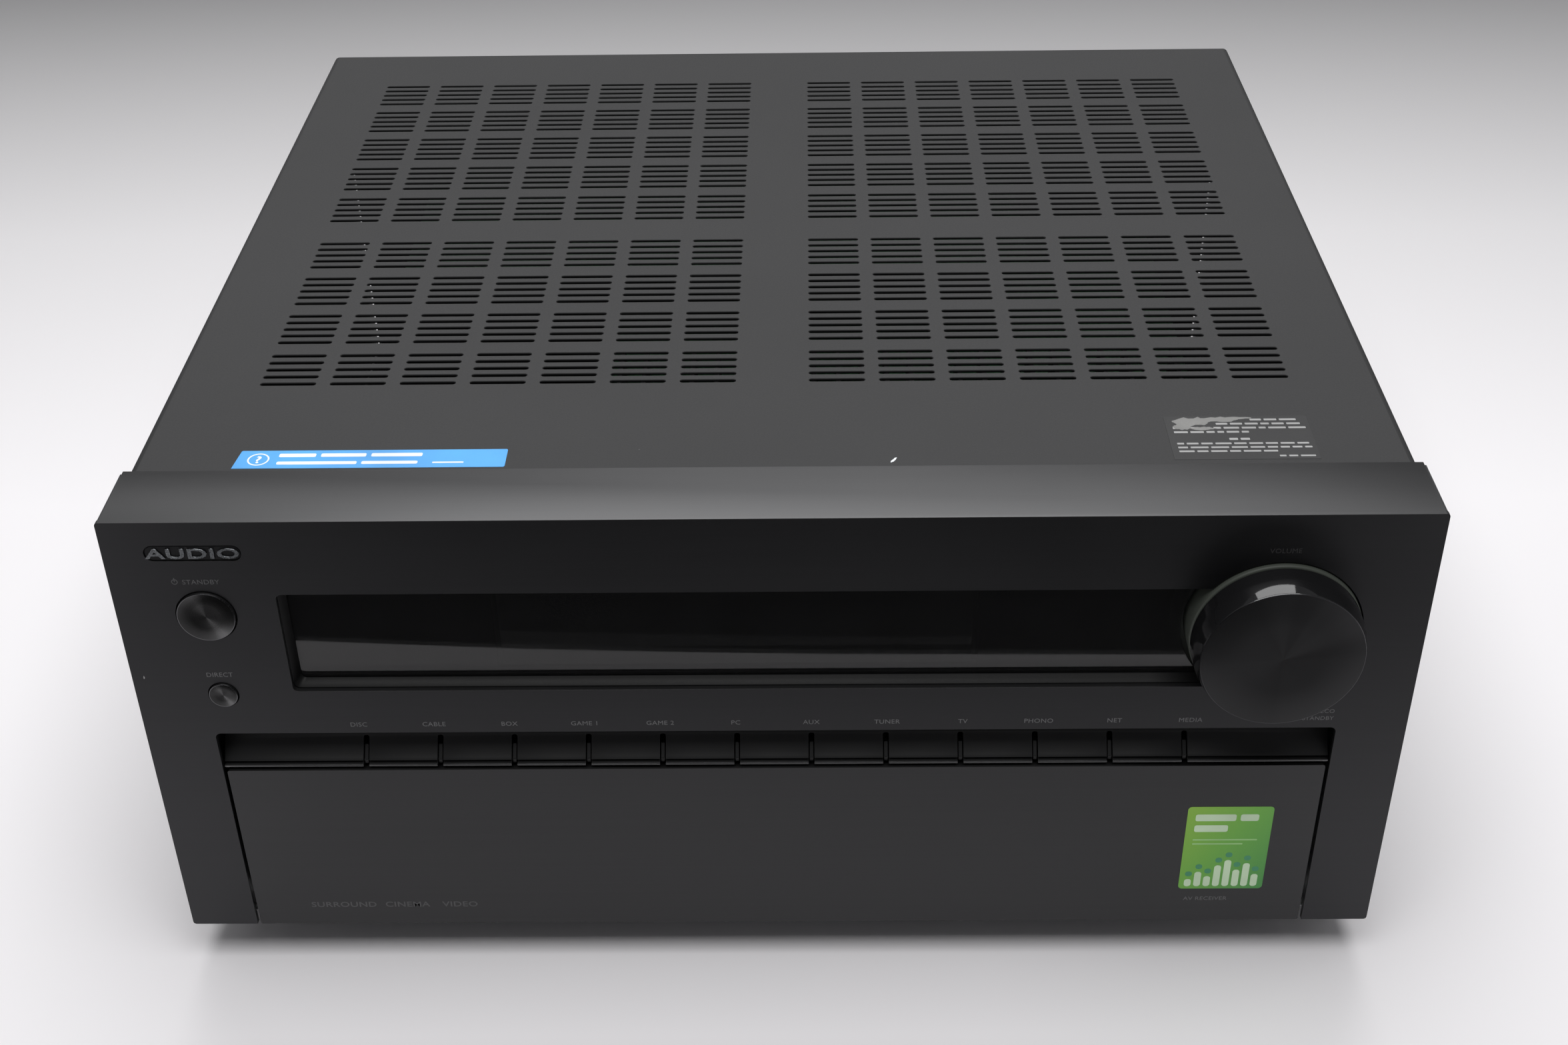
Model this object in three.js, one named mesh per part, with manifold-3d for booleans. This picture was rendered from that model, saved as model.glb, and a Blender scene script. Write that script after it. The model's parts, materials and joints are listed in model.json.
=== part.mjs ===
// AV receiver: a full-width audio/video receiver built as separate pieces.
// Millimetres, +Z up, front facing -Y. Inside this file the pieces are laid out with
// y = 0 on the fascia's front plane and z = 0 on the floor; the outer group then moves
// them so that the origin is under the centre of the overall box.
import * as THREE from "three";
import { mergeVertices } from "three/addons/utils/BufferGeometryUtils.js";
import Module from "manifold-3d";

const wasm = await Module();
wasm.setup();

// ---------------------------------------------------------------- driving dimensions
const PANEL_W = 435; // fascia width
const PANEL_Z0 = 17; // lower edge of the fascia, above the floor
const PANEL_Z1 = 198.5; // upper edge of the fascia
const PANEL_T = 2.0; // fascia plate
const PANEL_WRAP = 30.5; // depth of the fascia's top and side returns
const COVER_HALF = 214.8; // half width of the top cover
const COVER_Y0 = 30.8;
const COVER_Y1 = 396;
const COVER_TOP = 198.0;
const COVER_T = 1.0;
const REAR_END = 421; // tips of the loudspeaker terminals
const KNOB_X = 167.3;
const KNOB_Z = PANEL_Z0 + 133.65;
const KNOB_R = 27;
const KNOB_BASE_R = 28.4;
const KNOB_FRONT = -14.3;
const KNOB_BACK = -1.9;
const COLLAR_R = 28.65;
const BUTTON_X = -187.5;
const POWER_Z = PANEL_Z0 + 143.8;
const AUDIO_Z = PANEL_Z0 + 110.1;
const POWER_R = 9.7;
const AUDIO_R = 4.9;
const WINDOW_X0 = -163.4;
const WINDOW_Z0 = PANEL_Z0 + 111.2;
const WINDOW_Z1 = PANEL_Z0 + 152.3;
const BAY_HALF = 193.5; // half width of the selector recess and flap bay
const BAY_TOP = PANEL_Z0 + 92.7;
const FLAP_HALF = 192.2;
const FLAP_TOP = PANEL_Z0 + 75.5;
const FLAP_T = 2.5;
const HINGE_Y = 4.5;
const HINGE_Z = PANEL_Z0 + 4.5;
const KEY_COUNT = 12;
const KEY_PITCH = 26.02;
const KEY_X0 = -143.1;
const GAP_W = 2.4;
const KEY_W = 1.5;
const FOOT_R = 21;
const FOOT_H = 17.7;
const SHIFT_Y = -(REAR_END + KNOB_FRONT) / 2;

// ---------------------------------------------------------------- solids
function solid(geometry) {
  const flat = geometry.index ? geometry.toNonIndexed() : geometry;
  const bare = new THREE.BufferGeometry();
  bare.setAttribute("position", flat.getAttribute("position"));
  const merged = mergeVertices(bare, 1e-4);
  return new wasm.Manifold(
    new wasm.Mesh({
      numProp: 3,
      vertProperties: new Float32Array(merged.attributes.position.array),
      triVerts: new Uint32Array(merged.index.array),
    }),
  );
}

function geometryOf(manifold) {
  const mesh = manifold.getMesh();
  const geometry = new THREE.BufferGeometry();
  geometry.setAttribute("position", new THREE.BufferAttribute(new Float32Array(mesh.vertProperties), 3));
  geometry.setIndex(new THREE.BufferAttribute(new Uint32Array(mesh.triVerts), 1));
  return geometry;
}

function join(...pieces) {
  return pieces.reduce((a, b) => a.add(b));
}

function cut(base, ...tools) {
  return tools.reduce((a, b) => a.subtract(b), base);
}

function box(x0, x1, y0, y1, z0, z1) {
  const g = new THREE.BoxGeometry(x1 - x0, y1 - y0, z1 - z0);
  g.translate((x0 + x1) / 2, (y0 + y1) / 2, (z0 + z1) / 2);
  return solid(g);
}

// A shape drawn in X and Z, extruded along Y.
function extrudeY(shape, y0, y1, curveSegments = 4) {
  const g = new THREE.ExtrudeGeometry(shape, { depth: y1 - y0, bevelEnabled: false, curveSegments });
  g.rotateX(Math.PI / 2);
  g.translate(0, y1, 0);
  return solid(g);
}

// A shape drawn in X and Y, extruded along Z.
function extrudeZ(shape, z0, z1, curveSegments = 4) {
  const g = new THREE.ExtrudeGeometry(shape, { depth: z1 - z0, bevelEnabled: false, curveSegments });
  g.translate(0, 0, z0);
  return solid(g);
}

// A cylinder along Y.
function rodY(x, z, r, y0, y1, n = 32) {
  const g = new THREE.CylinderGeometry(r, r, y1 - y0, n);
  g.translate(x, (y0 + y1) / 2, z);
  return solid(g);
}

// A cylinder along X.
function rodX(y, z, r, x0, x1, n = 20) {
  const g = new THREE.CylinderGeometry(r, r, x1 - x0, n);
  g.rotateZ(Math.PI / 2);
  g.translate((x0 + x1) / 2, y, z);
  return solid(g);
}

// A cylinder along Z.
function rodZ(x, y, r, z0, z1, n = 24) {
  const g = new THREE.CylinderGeometry(r, r, z1 - z0, n);
  g.rotateX(Math.PI / 2);
  g.translate(x, y, (z0 + z1) / 2);
  return solid(g);
}

// A profile of [radius, distance along the axis], wound so that the turned body faces outwards.
function lathe(profile, n) {
  const area = profile.reduce((sum, [r, a], i) => {
    const [r2, a2] = profile[(i + 1) % profile.length];
    return sum + r * a2 - r2 * a;
  }, 0);
  const points = area > 0 ? profile : profile.slice().reverse();
  return new THREE.LatheGeometry(points.map(([r, a]) => new THREE.Vector2(r, a)), n);
}

// A profile of [radius, distance along Y] turned about the Y axis through x, z.
function turnedY(x, z, profile, n = 48) {
  const g = lathe(profile, n);
  g.translate(x, 0, z);
  return solid(g);
}

function roundedRect(x0, x1, z0, z1, r) {
  const s = new THREE.Shape();
  s.moveTo(x0 + r, z0);
  s.lineTo(x1 - r, z0);
  s.absarc(x1 - r, z0 + r, r, -Math.PI / 2, 0, false);
  s.lineTo(x1, z1 - r);
  s.absarc(x1 - r, z1 - r, r, 0, Math.PI / 2, false);
  s.lineTo(x0 + r, z1);
  s.absarc(x0 + r, z1 - r, r, Math.PI / 2, Math.PI, false);
  s.lineTo(x0, z0 + r);
  s.absarc(x0 + r, z0 + r, r, Math.PI, 1.5 * Math.PI, false);
  return s;
}

function polygon(points) {
  const s = new THREE.Shape();
  s.moveTo(...points[0]);
  for (const p of points.slice(1)) s.lineTo(...p);
  s.closePath();
  return s;
}

const receiver = new THREE.Group();
const layout = new THREE.Group();
layout.position.set(0, SHIFT_Y, 0);
receiver.add(layout);

function part(name, manifold, color, roughness = 0.5, metalness = 0.0) {
  const mesh = new THREE.Mesh(
    geometryOf(manifold),
    new THREE.MeshStandardMaterial({ color, roughness, metalness, flatShading: true }),
  );
  mesh.name = name;
  layout.add(mesh);
  return mesh;
}

// ---------------------------------------------------------------- fascia
{
  const half = PANEL_W / 2;
  let panel = extrudeY(roundedRect(-half, half, PANEL_Z0, PANEL_Z1, 1.2), 0, PANEL_T, 3);
  panel = join(
    panel,
    box(-half + 1.2, half - 1.2, 0.5, PANEL_WRAP, PANEL_Z1 - 2, PANEL_Z1),
    box(-half, -half + 2, 0.5, PANEL_WRAP, PANEL_Z0 + 1.2, PANEL_Z1 - 1.2),
    box(half - 2, half, 0.5, PANEL_WRAP, PANEL_Z0 + 1.2, PANEL_Z1 - 1.2),
  );
  panel = cut(
    panel,
    extrudeY(roundedRect(WINDOW_X0, KNOB_X, WINDOW_Z0, WINDOW_Z1, 2), -1, 4, 3),
    rodY(KNOB_X, KNOB_Z, 29.2, -1, 4, 64),
    rodY(BUTTON_X, POWER_Z, POWER_R + 0.5, -1, 4, 40),
    rodY(BUTTON_X, AUDIO_Z, AUDIO_R + 0.4, -1, 4, 28),
    extrudeY(roundedRect(-203.7, -171.7, PANEL_Z0 + 166.2, PANEL_Z0 + 172.4, 3.09), -1, 0.9, 5),
    extrudeY(roundedRect(-BAY_HALF, BAY_HALF, PANEL_Z0 - 20, BAY_TOP, 2), -1, 4, 3),
  );
  part("front_panel", panel, 0x1b1c1d, 0.38, 0.9);
}

part("badge_plate", extrudeY(roundedRect(-203.3, -172.1, PANEL_Z0 + 166.6, PANEL_Z0 + 172.0, 2.69), 0.25, 0.6, 5), 0x2a2b2c, 0.4, 0.6);

// Black frame and sill behind the display window and the knob: its opening narrows towards the lens.
part(
  "display_bezel",
  cut(
    extrudeY(roundedRect(-170, 204, 119, 184, 2), 2.3, 5.3, 2),
    extrudeY(roundedRect(WINDOW_X0, KNOB_X, WINDOW_Z0, WINDOW_Z1, 2), 1, 3.8, 3),
    extrudeY(roundedRect(WINDOW_X0 + 1.9, KNOB_X, WINDOW_Z0 + 2.2, WINDOW_Z1, 2), 3, 6, 3),
    rodY(KNOB_X, KNOB_Z, 29.2, 1, 10, 64),
  ),
  0x0b0b0c, 0.35,
);

// Smoked window, with a round cut where the knob's collar passes.
part(
  "display_lens",
  cut(
    extrudeY(roundedRect(-168, KNOB_X - 5, 123, 175, 2), 5.6, 7.1, 2),
    rodY(KNOB_X, KNOB_Z, 30.3, 4, 8, 64),
  ),
  0x0c0c0d, 0.08,
);

part("vfd_display", join(box(-93, 68, 12, 19, 130, 167), box(-86, 61, 19, 21.6, 134, 163)), 0x1c2322, 0.2);

// ---------------------------------------------------------------- volume knob
part(
  "volume_collar",
  turnedY(KNOB_X, KNOB_Z, [[5.4, -1.5], [5.4, 13], [33, 13], [33, 10.9], [COLLAR_R, 10.9], [COLLAR_R, -1.5], [5.4, -1.5]], 64),
  0x3c3d3e, 0.3, 0.8,
);

part(
  "volume_knob",
  turnedY(
    KNOB_X, KNOB_Z,
    [
      [0, KNOB_FRONT], [0, KNOB_FRONT + 3.2], [3.4, KNOB_FRONT + 3.2], [3.4, KNOB_BACK - 1.5], [7, KNOB_BACK - 1.5],
      [7, KNOB_FRONT + 3.2], [24.2, KNOB_FRONT + 3.2], [24.2, KNOB_BACK], [KNOB_BASE_R, KNOB_BACK],
      [KNOB_BASE_R, KNOB_BACK - 1.8], [KNOB_BASE_R - 0.35, KNOB_BACK - 5.2], [KNOB_BASE_R - 0.95, KNOB_FRONT + 3.4], [KNOB_R, KNOB_FRONT + 0.7],
      [KNOB_R - 0.7, KNOB_FRONT], [0, KNOB_FRONT],
    ],
    64,
  ),
  0x2a2b2c, 0.3, 0.9,
);

part("knob_shaft", rodY(KNOB_X, KNOB_Z, 3.0, KNOB_FRONT + 3.5, 19.5, 24), 0x9a9c9e, 0.35, 1.0);

part(
  "volume_encoder",
  cut(
    join(box(KNOB_X - 8, KNOB_X + 8, 16.2, 21.7, KNOB_Z - 8, KNOB_Z + 8), rodY(KNOB_X, KNOB_Z, 4.8, 9, 17, 28)),
    rodY(KNOB_X, KNOB_Z, 3.35, 8, 20, 24),
  ),
  0x8d9093, 0.4, 0.8,
);

// ---------------------------------------------------------------- round push buttons
function roundButton(x, z, r, front, stemR, n) {
  return turnedY(
    x, z,
    [
      [0, front], [r - 0.4, front], [r, front + 0.4], [r, 2.7], [r + 1.6, 2.7], [r + 1.6, 4.2], [r - 1, 4.2],
      [r - 1, 6.5], [stemR, 6.5], [stemR, 19.8], [0, 19.8],
    ],
    n,
  );
}
part("power_button", roundButton(BUTTON_X, POWER_Z, POWER_R, -0.9, 3, 40), 0x3a3b3c, 0.3, 0.9);
part("pure_audio_button", roundButton(BUTTON_X, AUDIO_Z, AUDIO_R, -0.7, 2.4, 28), 0x3a3b3c, 0.3, 0.9);

part("display_pcb", box(-204, 200, 22, 23.6, 118, 190), 0x1f4a2c, 0.6);

// ---------------------------------------------------------------- selector strip and keys
{
  // Section in Y and Z: a scooped face that comes forward towards its lower edge, a groove, and a thin lip.
  const z0 = FLAP_TOP + 0.9;
  const z1 = BAY_TOP - 0.5;
  const half = BAY_HALF - 0.6;
  const section = (points, x0, x1) => {
    const g = new THREE.ExtrudeGeometry(polygon(points), { depth: x1 - x0, bevelEnabled: false });
    g.applyMatrix4(new THREE.Matrix4().set(0, 0, 1, x0, 1, 0, 0, 0, 0, 1, 0, 0, 0, 0, 0, 1));
    return solid(g);
  };
  let strip = section(
    [[10.5, z1], [9.3, z1 - 2.7], [7.7, z1 - 5.9], [5.4, z1 - 9.2], [3.3, z1 - 11.8], [1.6, z0 + 2.2], [3.4, z0 + 2.0], [3.4, z0 + 1.15], [0.9, z0 + 1.05], [0.7, z0 + 0.85], [0.7, z0 + 0.2], [0.9, z0], [14, z0], [14, z1]],
    -half,
    half,
  );
  for (let i = 0; i < KEY_COUNT; i++) {
    const x = KEY_X0 + i * KEY_PITCH;
    strip = cut(strip, box(x - GAP_W / 2, x + GAP_W / 2, 0, 15, z0 - 1, z0 + 9.1));
    part(
      "input_key_" + (i + 1),
      join(
        section([[2.2, z0 + 0.4], [2.2, z0 + 2.1], [5.7, z0 + 6.3], [16.4, z0 + 6.3], [16.4, z0 + 0.4]], x - KEY_W / 2, x + KEY_W / 2),
        box(x - KEY_W / 2 - 1.2, x + KEY_W / 2 + 1.2, 14.4, 15.4, z0 + 0.4, z0 + 6.3),
      ),
      0x1a1b1c, 0.4,
    );
  }
  part("selector_strip", strip, 0x101011, 0.3);
  part("selector_pcb", box(-188, 188, 17.5, 19.1, z0 - 1, z1 + 4), 0x1f4a2c, 0.6);
}

// ---------------------------------------------------------------- flap and the bay behind it
{
  const lug = (x0, x1) => join(rodX(HINGE_Y, HINGE_Z, 3.0, x0, x1, 20), box(x0, x1, 1.5, HINGE_Y, HINGE_Z - 2.9, HINGE_Z + 2.9));
  let flap = extrudeY(roundedRect(-FLAP_HALF, FLAP_HALF, PANEL_Z0 + 0.1, FLAP_TOP, 0.8), 0, FLAP_T, 2);
  flap = join(flap, lug(-192.0, -180), lug(180, 192.0), box(-170, 170, 2, 4.6, FLAP_TOP - 6, FLAP_TOP - 3), box(-10, 10, 2, 6, FLAP_TOP - 9, FLAP_TOP - 6));
  flap = cut(flap, rodX(HINGE_Y, HINGE_Z, 1.85, -194, -182, 16), rodX(HINGE_Y, HINGE_Z, 1.85, 182, 194, 16));
  part("front_flap", flap, 0x2b2c2d, 0.4, 0.9);
  part("flap_hinge_pin_left", rodX(HINGE_Y, HINGE_Z, 1.5, -201.5, -182.4, 16), 0xb0b2b4, 0.3, 1.0);
  part("flap_hinge_pin_right", rodX(HINGE_Y, HINGE_Z, 1.5, 182.4, 201.5, 16), 0xb0b2b4, 0.3, 1.0);
}
part("flap_catch", box(-9, 9, 6.5, 13.6, FLAP_TOP - 10, FLAP_TOP - 4), 0x161617, 0.6);

// Moulded frame that carries everything behind the fascia.
{
  const plate = box(-212.5, 212.5, 13.4, 15.8, 113, 196);
  const legs = [-1, 1].flatMap((s) => {
    const a = s < 0 ? -212.5 : 195;
    const b = s < 0 ? -195 : 212.5;
    const c = s < 0 ? -212.5 : 205;
    const d = s < 0 ? -205 : 212.5;
    return [box(a, b, 2.4, 15.8, 19.6, 114), box(c, d, 2.4, 28, 113, 196), box(c, d, 15, 28, 19.6, 114)];
  });
  let frame = join(plate, ...legs, box(-212.5, 212.5, 2.4, 14, 192, 196));
  frame = cut(
    frame,
    box(-95, 70, 10, 20, 128, 169),
    rodY(KNOB_X, KNOB_Z, 5.6, 10, 20, 28),
    rodY(BUTTON_X, POWER_Z, 3.5, 10, 20, 24),
    rodY(BUTTON_X, AUDIO_Z, 2.9, 10, 20, 20),
    rodX(HINGE_Y, HINGE_Z, 1.85, -203, -190, 16),
    rodX(HINGE_Y, HINGE_Z, 1.85, 190, 203, 16),
  );
  part("front_subframe", frame, 0x131314, 0.6);
}

// Black fascia behind the flap, with the convenience sockets in it.
{
  const z0 = 24;
  const z1 = FLAP_TOP - 1.5;
  part(
    "jack_panel",
    cut(
      box(-192.5, 192.5, 14, 16, z0, z1),
      rodY(-160, 50, 6.3, 13, 17, 28),
      box(-9.3, 9.3, 13, 17, 46.2, 55.8),
      box(79.7, 140.3, 13, 17, 40.7, 59.3),
    ),
    0x161718, 0.5,
  );
  part(
    "phones_jack",
    cut(join(rodY(-160, 50, 6.0, 12.5, 17, 28), box(-168, -152, 16.3, 38, 42, 58)), rodY(-160, 50, 3.3, 12, 36, 24)),
    0x2b2b2c, 0.5,
  );
  part("front_hdmi_socket", cut(box(-9, 9, 13, 26, 46.5, 55.5), box(-7.4, 7.4, 12, 24, 48.3, 53.7)), 0xa7a9ab, 0.35, 1.0);
  part(
    "front_av_jacks",
    join(box(80, 140, 13, 28, 41, 59), ...[90, 110, 130].map((x) => cut(rodY(x, 50, 4.2, 6.6, 13.5, 20), rodY(x, 50, 1.7, 6, 13, 12)))),
    0x1d1d1e, 0.5,
  );
}

// ---------------------------------------------------------------- top cover
{
  const h = COVER_HALF;
  const t = COVER_T;
  const z0 = 18;
  const R = 2.6;
  const r = R - t;
  const outer = [];
  const inner = [];
  for (let i = 0; i <= 3; i++) {
    const a = (i / 3) * (Math.PI / 2);
    outer.push([h - R + R * Math.cos(a), COVER_TOP - R + R * Math.sin(a)]);
    inner.push([h - R + r * Math.cos(a), COVER_TOP - R + r * Math.sin(a)]);
  }
  const mirror = (list) => list.map(([x, z]) => [-x, z]).reverse();
  const outline = [[h, z0], ...outer, ...mirror(outer), [-h, z0], [-h + t, z0], ...mirror(inner).reverse(), ...inner.slice().reverse(), [h - t, z0]];
  let cover = extrudeY(polygon(outline), COVER_Y0, COVER_Y1);
  // Vent blocks: two groups of seven columns and nine rows.
  for (const s of [0, 1]) {
    for (let c = 0; c < 7; c++) {
      const x = (s ? 13 : -183) + 25 * c;
      for (let row = 0; row < 9; row++) {
        const y = row < 5 ? 358.5 - 30 * row : 197.7 - 30 * (row - 5);
        cover = cut(
          cover,
          box(x, x + 20, y - 21.3, y - 11.4, COVER_TOP - 2, COVER_TOP + 1),
          box(x, x + 20, y - 8.6, y + 1.3, COVER_TOP - 2, COVER_TOP + 1),
        );
      }
    }
  }
  for (const s of [-1, 1]) for (const y of [85, 350]) cover = cut(cover, rodX(y, 30, 2.3, s > 0 ? h - 2 : -h - 1, s > 0 ? h + 1 : -h + 2, 16));
  part("top_cover", cover, 0x4a4a4b, 0.75, 0.3);
}

for (const [name, s, y] of [["left_front", -1, 85], ["left_rear", -1, 350], ["right_front", 1, 85], ["right_rear", 1, 350]]) {
  const head = s > 0 ? [215.1, 217.0] : [-217.0, -215.1];
  const stem = s > 0 ? [207.5, 215.5] : [-215.5, -207.5];
  part(
    "cover_screw_" + name,
    cut(join(rodX(y, 30, 3.6, ...head, 20), rodX(y, 30, 1.9, ...stem, 12)), box(...(s > 0 ? [216.2, 218] : [-218, -216.2]), y - 2.4, y + 2.4, 29.5, 30.5), box(...(s > 0 ? [216.2, 218] : [-218, -216.2]), y - 0.5, y + 0.5, 27.6, 32.4)),
    0x2a2a2b, 0.4, 0.9,
  );
}

// ---------------------------------------------------------------- chassis, rear panel, feet
{
  let tray = join(
    box(-212.5, 212.5, 29, 393, 18, 19.3),
    box(-194, 194, 16.5, 30, 18, 19.3),
    box(-212.5, -211.2, 29, 393, 18, 42),
    box(211.2, 212.5, 29, 393, 18, 42),
    box(-194, 194, 16.5, 17.8, 18, 23.5),
  );
  for (const s of [0, 1]) for (let i = 0; i < 8; i++) tray = cut(tray, box((s ? 40 : -180) + i * 18, (s ? 44 : -176) + i * 18, 235, 305, 17, 20));
  const post = (x, y) => rodZ(x, y, 3, 19, 33.6, 10);
  tray = join(
    tray,
    post(-190, 205), post(-100, 205), post(-190, 325), post(-100, 325),
    post(-70, 95), post(196, 95), post(-70, 225), post(196, 225),
  );
  for (const s of [-1, 1]) for (const y of [85, 350]) tray = cut(tray, rodX(y, 30, 2.3, s > 0 ? 210 : -214, s > 0 ? 214 : -210, 12));
  part("bottom_chassis", tray, 0x8b8d8f, 0.45, 0.9);
}

for (const [name, x, y] of [["front_left", -172, 58], ["front_right", 172, 58], ["rear_left", -172, 360], ["rear_right", 172, 360]]) {
  const g = lathe([[0, 0], [FOOT_R - 2, 0], [FOOT_R - 1, 1], [FOOT_R, 6], [FOOT_R, 13], [FOOT_R - 2.5, FOOT_H], [0, FOOT_H]], 32);
  g.rotateX(Math.PI / 2);
  g.translate(x, y, 0);
  part("foot_" + name, solid(g), 0x141415, 0.8);
}

// Rear connectors, left to right as seen from the front.
const INLET = { x0: -195, x1: -167, z0: 34, z1: 56 };
const SPEAKERS = { x0: -140, x1: 120, z0: 28, z1: 78 };
const RCA = { x0: -70, x1: 150, z0: 92, z1: 128 };
const HDMI = { x0: -150, x1: 40, z0: 156, z1: 172 };
const LAN = { x0: 62, x1: 80, z0: 154, z1: 171 };
const ANTENNA = { x0: 120, x1: 190, z0: 150, z1: 174 };
{
  const hole = (b, m = 0.4) => box(b.x0 - m, b.x1 + m, 392, 396, b.z0 - m, b.z1 + m);
  part("rear_panel", cut(box(-212.5, 212.5, 393.4, 394.6, 18, 196.5), ...[INLET, SPEAKERS, RCA, HDMI, LAN, ANTENNA].map((b) => hole(b))), 0x232425, 0.6, 0.5);
}
{
  const pin = (x, z) => box(x - 1, x + 1, 382, 393, z - 2, z + 2);
  part(
    "ac_inlet",
    join(
      cut(join(box(INLET.x0, INLET.x1, 372, 397.4, INLET.z0, INLET.z1), box(INLET.x0 - 11, INLET.x1 + 11, 395, 397.4, INLET.z0 - 2, INLET.z1 + 2)), box(INLET.x0 + 2, INLET.x1 - 2, 381, 399, INLET.z0 + 2.5, INLET.z1 - 2.5)),
      join(box(-182, -180, 380, 393, 46.2, 50.2)),
      join(box(-189, -187, 380, 393, 39.8, 43.8)),
      join(box(-175, -173, 380, 393, 39.8, 43.8)),
    ),
    0x151516, 0.5,
  );
}
{
  let block = join(box(SPEAKERS.x0, SPEAKERS.x1, 382, 398, SPEAKERS.z0, SPEAKERS.z1));
  for (let i = 0; i < 7; i++) for (const z of [41, 65]) block = join(block, rodY(-120 + i * 36.7, z, 6.2, 397, REAR_END, 14));
  part("speaker_terminal_block", block, 0x1a1a1b, 0.5);
}
{
  let block = box(RCA.x0, RCA.x1, 380, 397, RCA.z0, RCA.z1);
  for (let i = 0; i < 9; i++) for (const z of [101, 119]) block = join(block, rodY(-58 + i * 24.5, z, 4.2, 396, 405, 12));
  part("rca_jack_block", block, 0x1a1a1b, 0.5);
}
{
  let row = box(HDMI.x0, HDMI.x1, 382, 395.6, HDMI.z0, HDMI.z1);
  for (let i = 0; i < 7; i++) row = cut(row, box(-144.5 + i * 26, -129.5 + i * 26, 384, 397, 161, 166.4));
  part("hdmi_port_row", row, 0xa7a9ab, 0.35, 1.0);
}
part("network_port", cut(box(LAN.x0, LAN.x1, 379, 396, LAN.z0, LAN.z1), box(LAN.x0 + 3, LAN.x1 - 3, 383, 398, LAN.z0 + 3, LAN.z1 - 4)), 0xa7a9ab, 0.35, 1.0);
part(
  "antenna_terminal",
  join(box(ANTENNA.x0, ANTENNA.x1, 383, 396.5, ANTENNA.z0, ANTENNA.z1), rodY(133, 162, 4.8, 396, 406, 16), box(150, 166, 396, 403, 156, 168), box(170, 186, 396, 403, 156, 168)),
  0x1a1a1b, 0.5,
);

// ---------------------------------------------------------------- inside
part(
  "power_transformer",
  join(
    box(-196, -92, 62, 168, 19.7, 23),
    box(-190, -98, 84, 146, 22, 102),
    box(-177, -111, 68, 162, 34, 90),
  ),
  0x6b6d70, 0.5, 0.8,
);
part("psu_pcb", box(-196, -94, 199, 331, 34, 35.6), 0x1f4a2c, 0.6);
part("amp_pcb", box(-76, 202, 89, 231, 34, 35.6), 0x1f4a2c, 0.6);
{
  const pts = [];
  const x0 = -66;
  const pitch = 10;
  const n = 26;
  pts.push([x0, 172]);
  for (let i = 0; i < n; i++) {
    const a = x0 + i * pitch;
    pts.push([a, 150], [a + 2, 150], [a + 2, 172]);
    if (i < n - 1) pts.push([a + pitch, 172]);
  }
  const end = x0 + (n - 1) * pitch + 2;
  pts.push([end, 178]);
  for (let i = n - 1; i >= 0; i--) {
    const a = x0 + i * pitch;
    if (i < n - 1) pts.push([a + 2, 178]);
    pts.push([a + 2, 208], [a, 208], [a, 178]);
  }
  const clean = pts.filter((p, i) => i === 0 || p[0] !== pts[i - 1][0] || p[1] !== pts[i - 1][1]);
  part("heatsink", extrudeZ(polygon(clean), 37, 142), 0x3a3b3d, 0.5, 0.9);
}
part("reservoir_capacitor_left", rodZ(-30, 118, 19, 36, 88, 24), 0x17181a, 0.4);
part("reservoir_capacitor_right", rodZ(18, 118, 19, 36, 88, 24), 0x17181a, 0.4);
part("main_pcb", box(-80, 180, 236, 379.5, 109, 110.6), 0x1f4a2c, 0.6);
part("hdmi_pcb", box(-165, 110, 262, 378.6, 151, 152.6), 0x1f4a2c, 0.6);

export default receiver;
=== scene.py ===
import json
import math
import random

import bmesh
import bpy
from mathutils import Matrix, Vector
from mathutils.geometry import delaunay_2d_cdt

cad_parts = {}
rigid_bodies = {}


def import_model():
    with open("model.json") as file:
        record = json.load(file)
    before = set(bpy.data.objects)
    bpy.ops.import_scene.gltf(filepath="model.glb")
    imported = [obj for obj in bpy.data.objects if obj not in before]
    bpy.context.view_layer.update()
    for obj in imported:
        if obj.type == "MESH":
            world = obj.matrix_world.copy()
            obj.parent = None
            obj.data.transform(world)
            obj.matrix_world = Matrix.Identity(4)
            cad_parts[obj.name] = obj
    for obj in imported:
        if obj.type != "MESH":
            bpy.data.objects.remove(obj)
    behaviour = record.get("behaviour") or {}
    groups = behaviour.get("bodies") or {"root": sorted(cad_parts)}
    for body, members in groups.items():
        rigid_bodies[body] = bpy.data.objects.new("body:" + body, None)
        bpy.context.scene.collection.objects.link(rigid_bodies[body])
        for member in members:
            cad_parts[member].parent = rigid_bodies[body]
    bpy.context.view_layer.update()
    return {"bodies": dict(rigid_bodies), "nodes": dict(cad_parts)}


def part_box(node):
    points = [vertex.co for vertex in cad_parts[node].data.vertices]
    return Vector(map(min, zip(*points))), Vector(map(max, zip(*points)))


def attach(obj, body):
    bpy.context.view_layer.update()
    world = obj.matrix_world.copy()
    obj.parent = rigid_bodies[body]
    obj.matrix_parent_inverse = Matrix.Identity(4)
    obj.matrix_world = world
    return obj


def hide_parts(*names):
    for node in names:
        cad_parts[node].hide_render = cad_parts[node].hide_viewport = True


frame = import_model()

random.seed(7)

# ------------------------------------------------------------------ frame of reference
# Lengths below are millimetres: x to the right, y behind the fascia's front plane, z above the floor.
PANEL_LO, PANEL_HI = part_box("front_panel")
FRONT_Y = PANEL_LO.y * 1000
Z0 = PANEL_LO.z * 1000
Z1 = PANEL_HI.z * 1000
MM = 0.001


def P(x, y, z):
    return Vector((x * MM, (FRONT_Y + y) * MM, z * MM))


def mm_of(v):
    """A frame point in CAD millimetres."""
    return Vector((v.x / MM, v.y / MM - FRONT_Y, v.z / MM))


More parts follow.
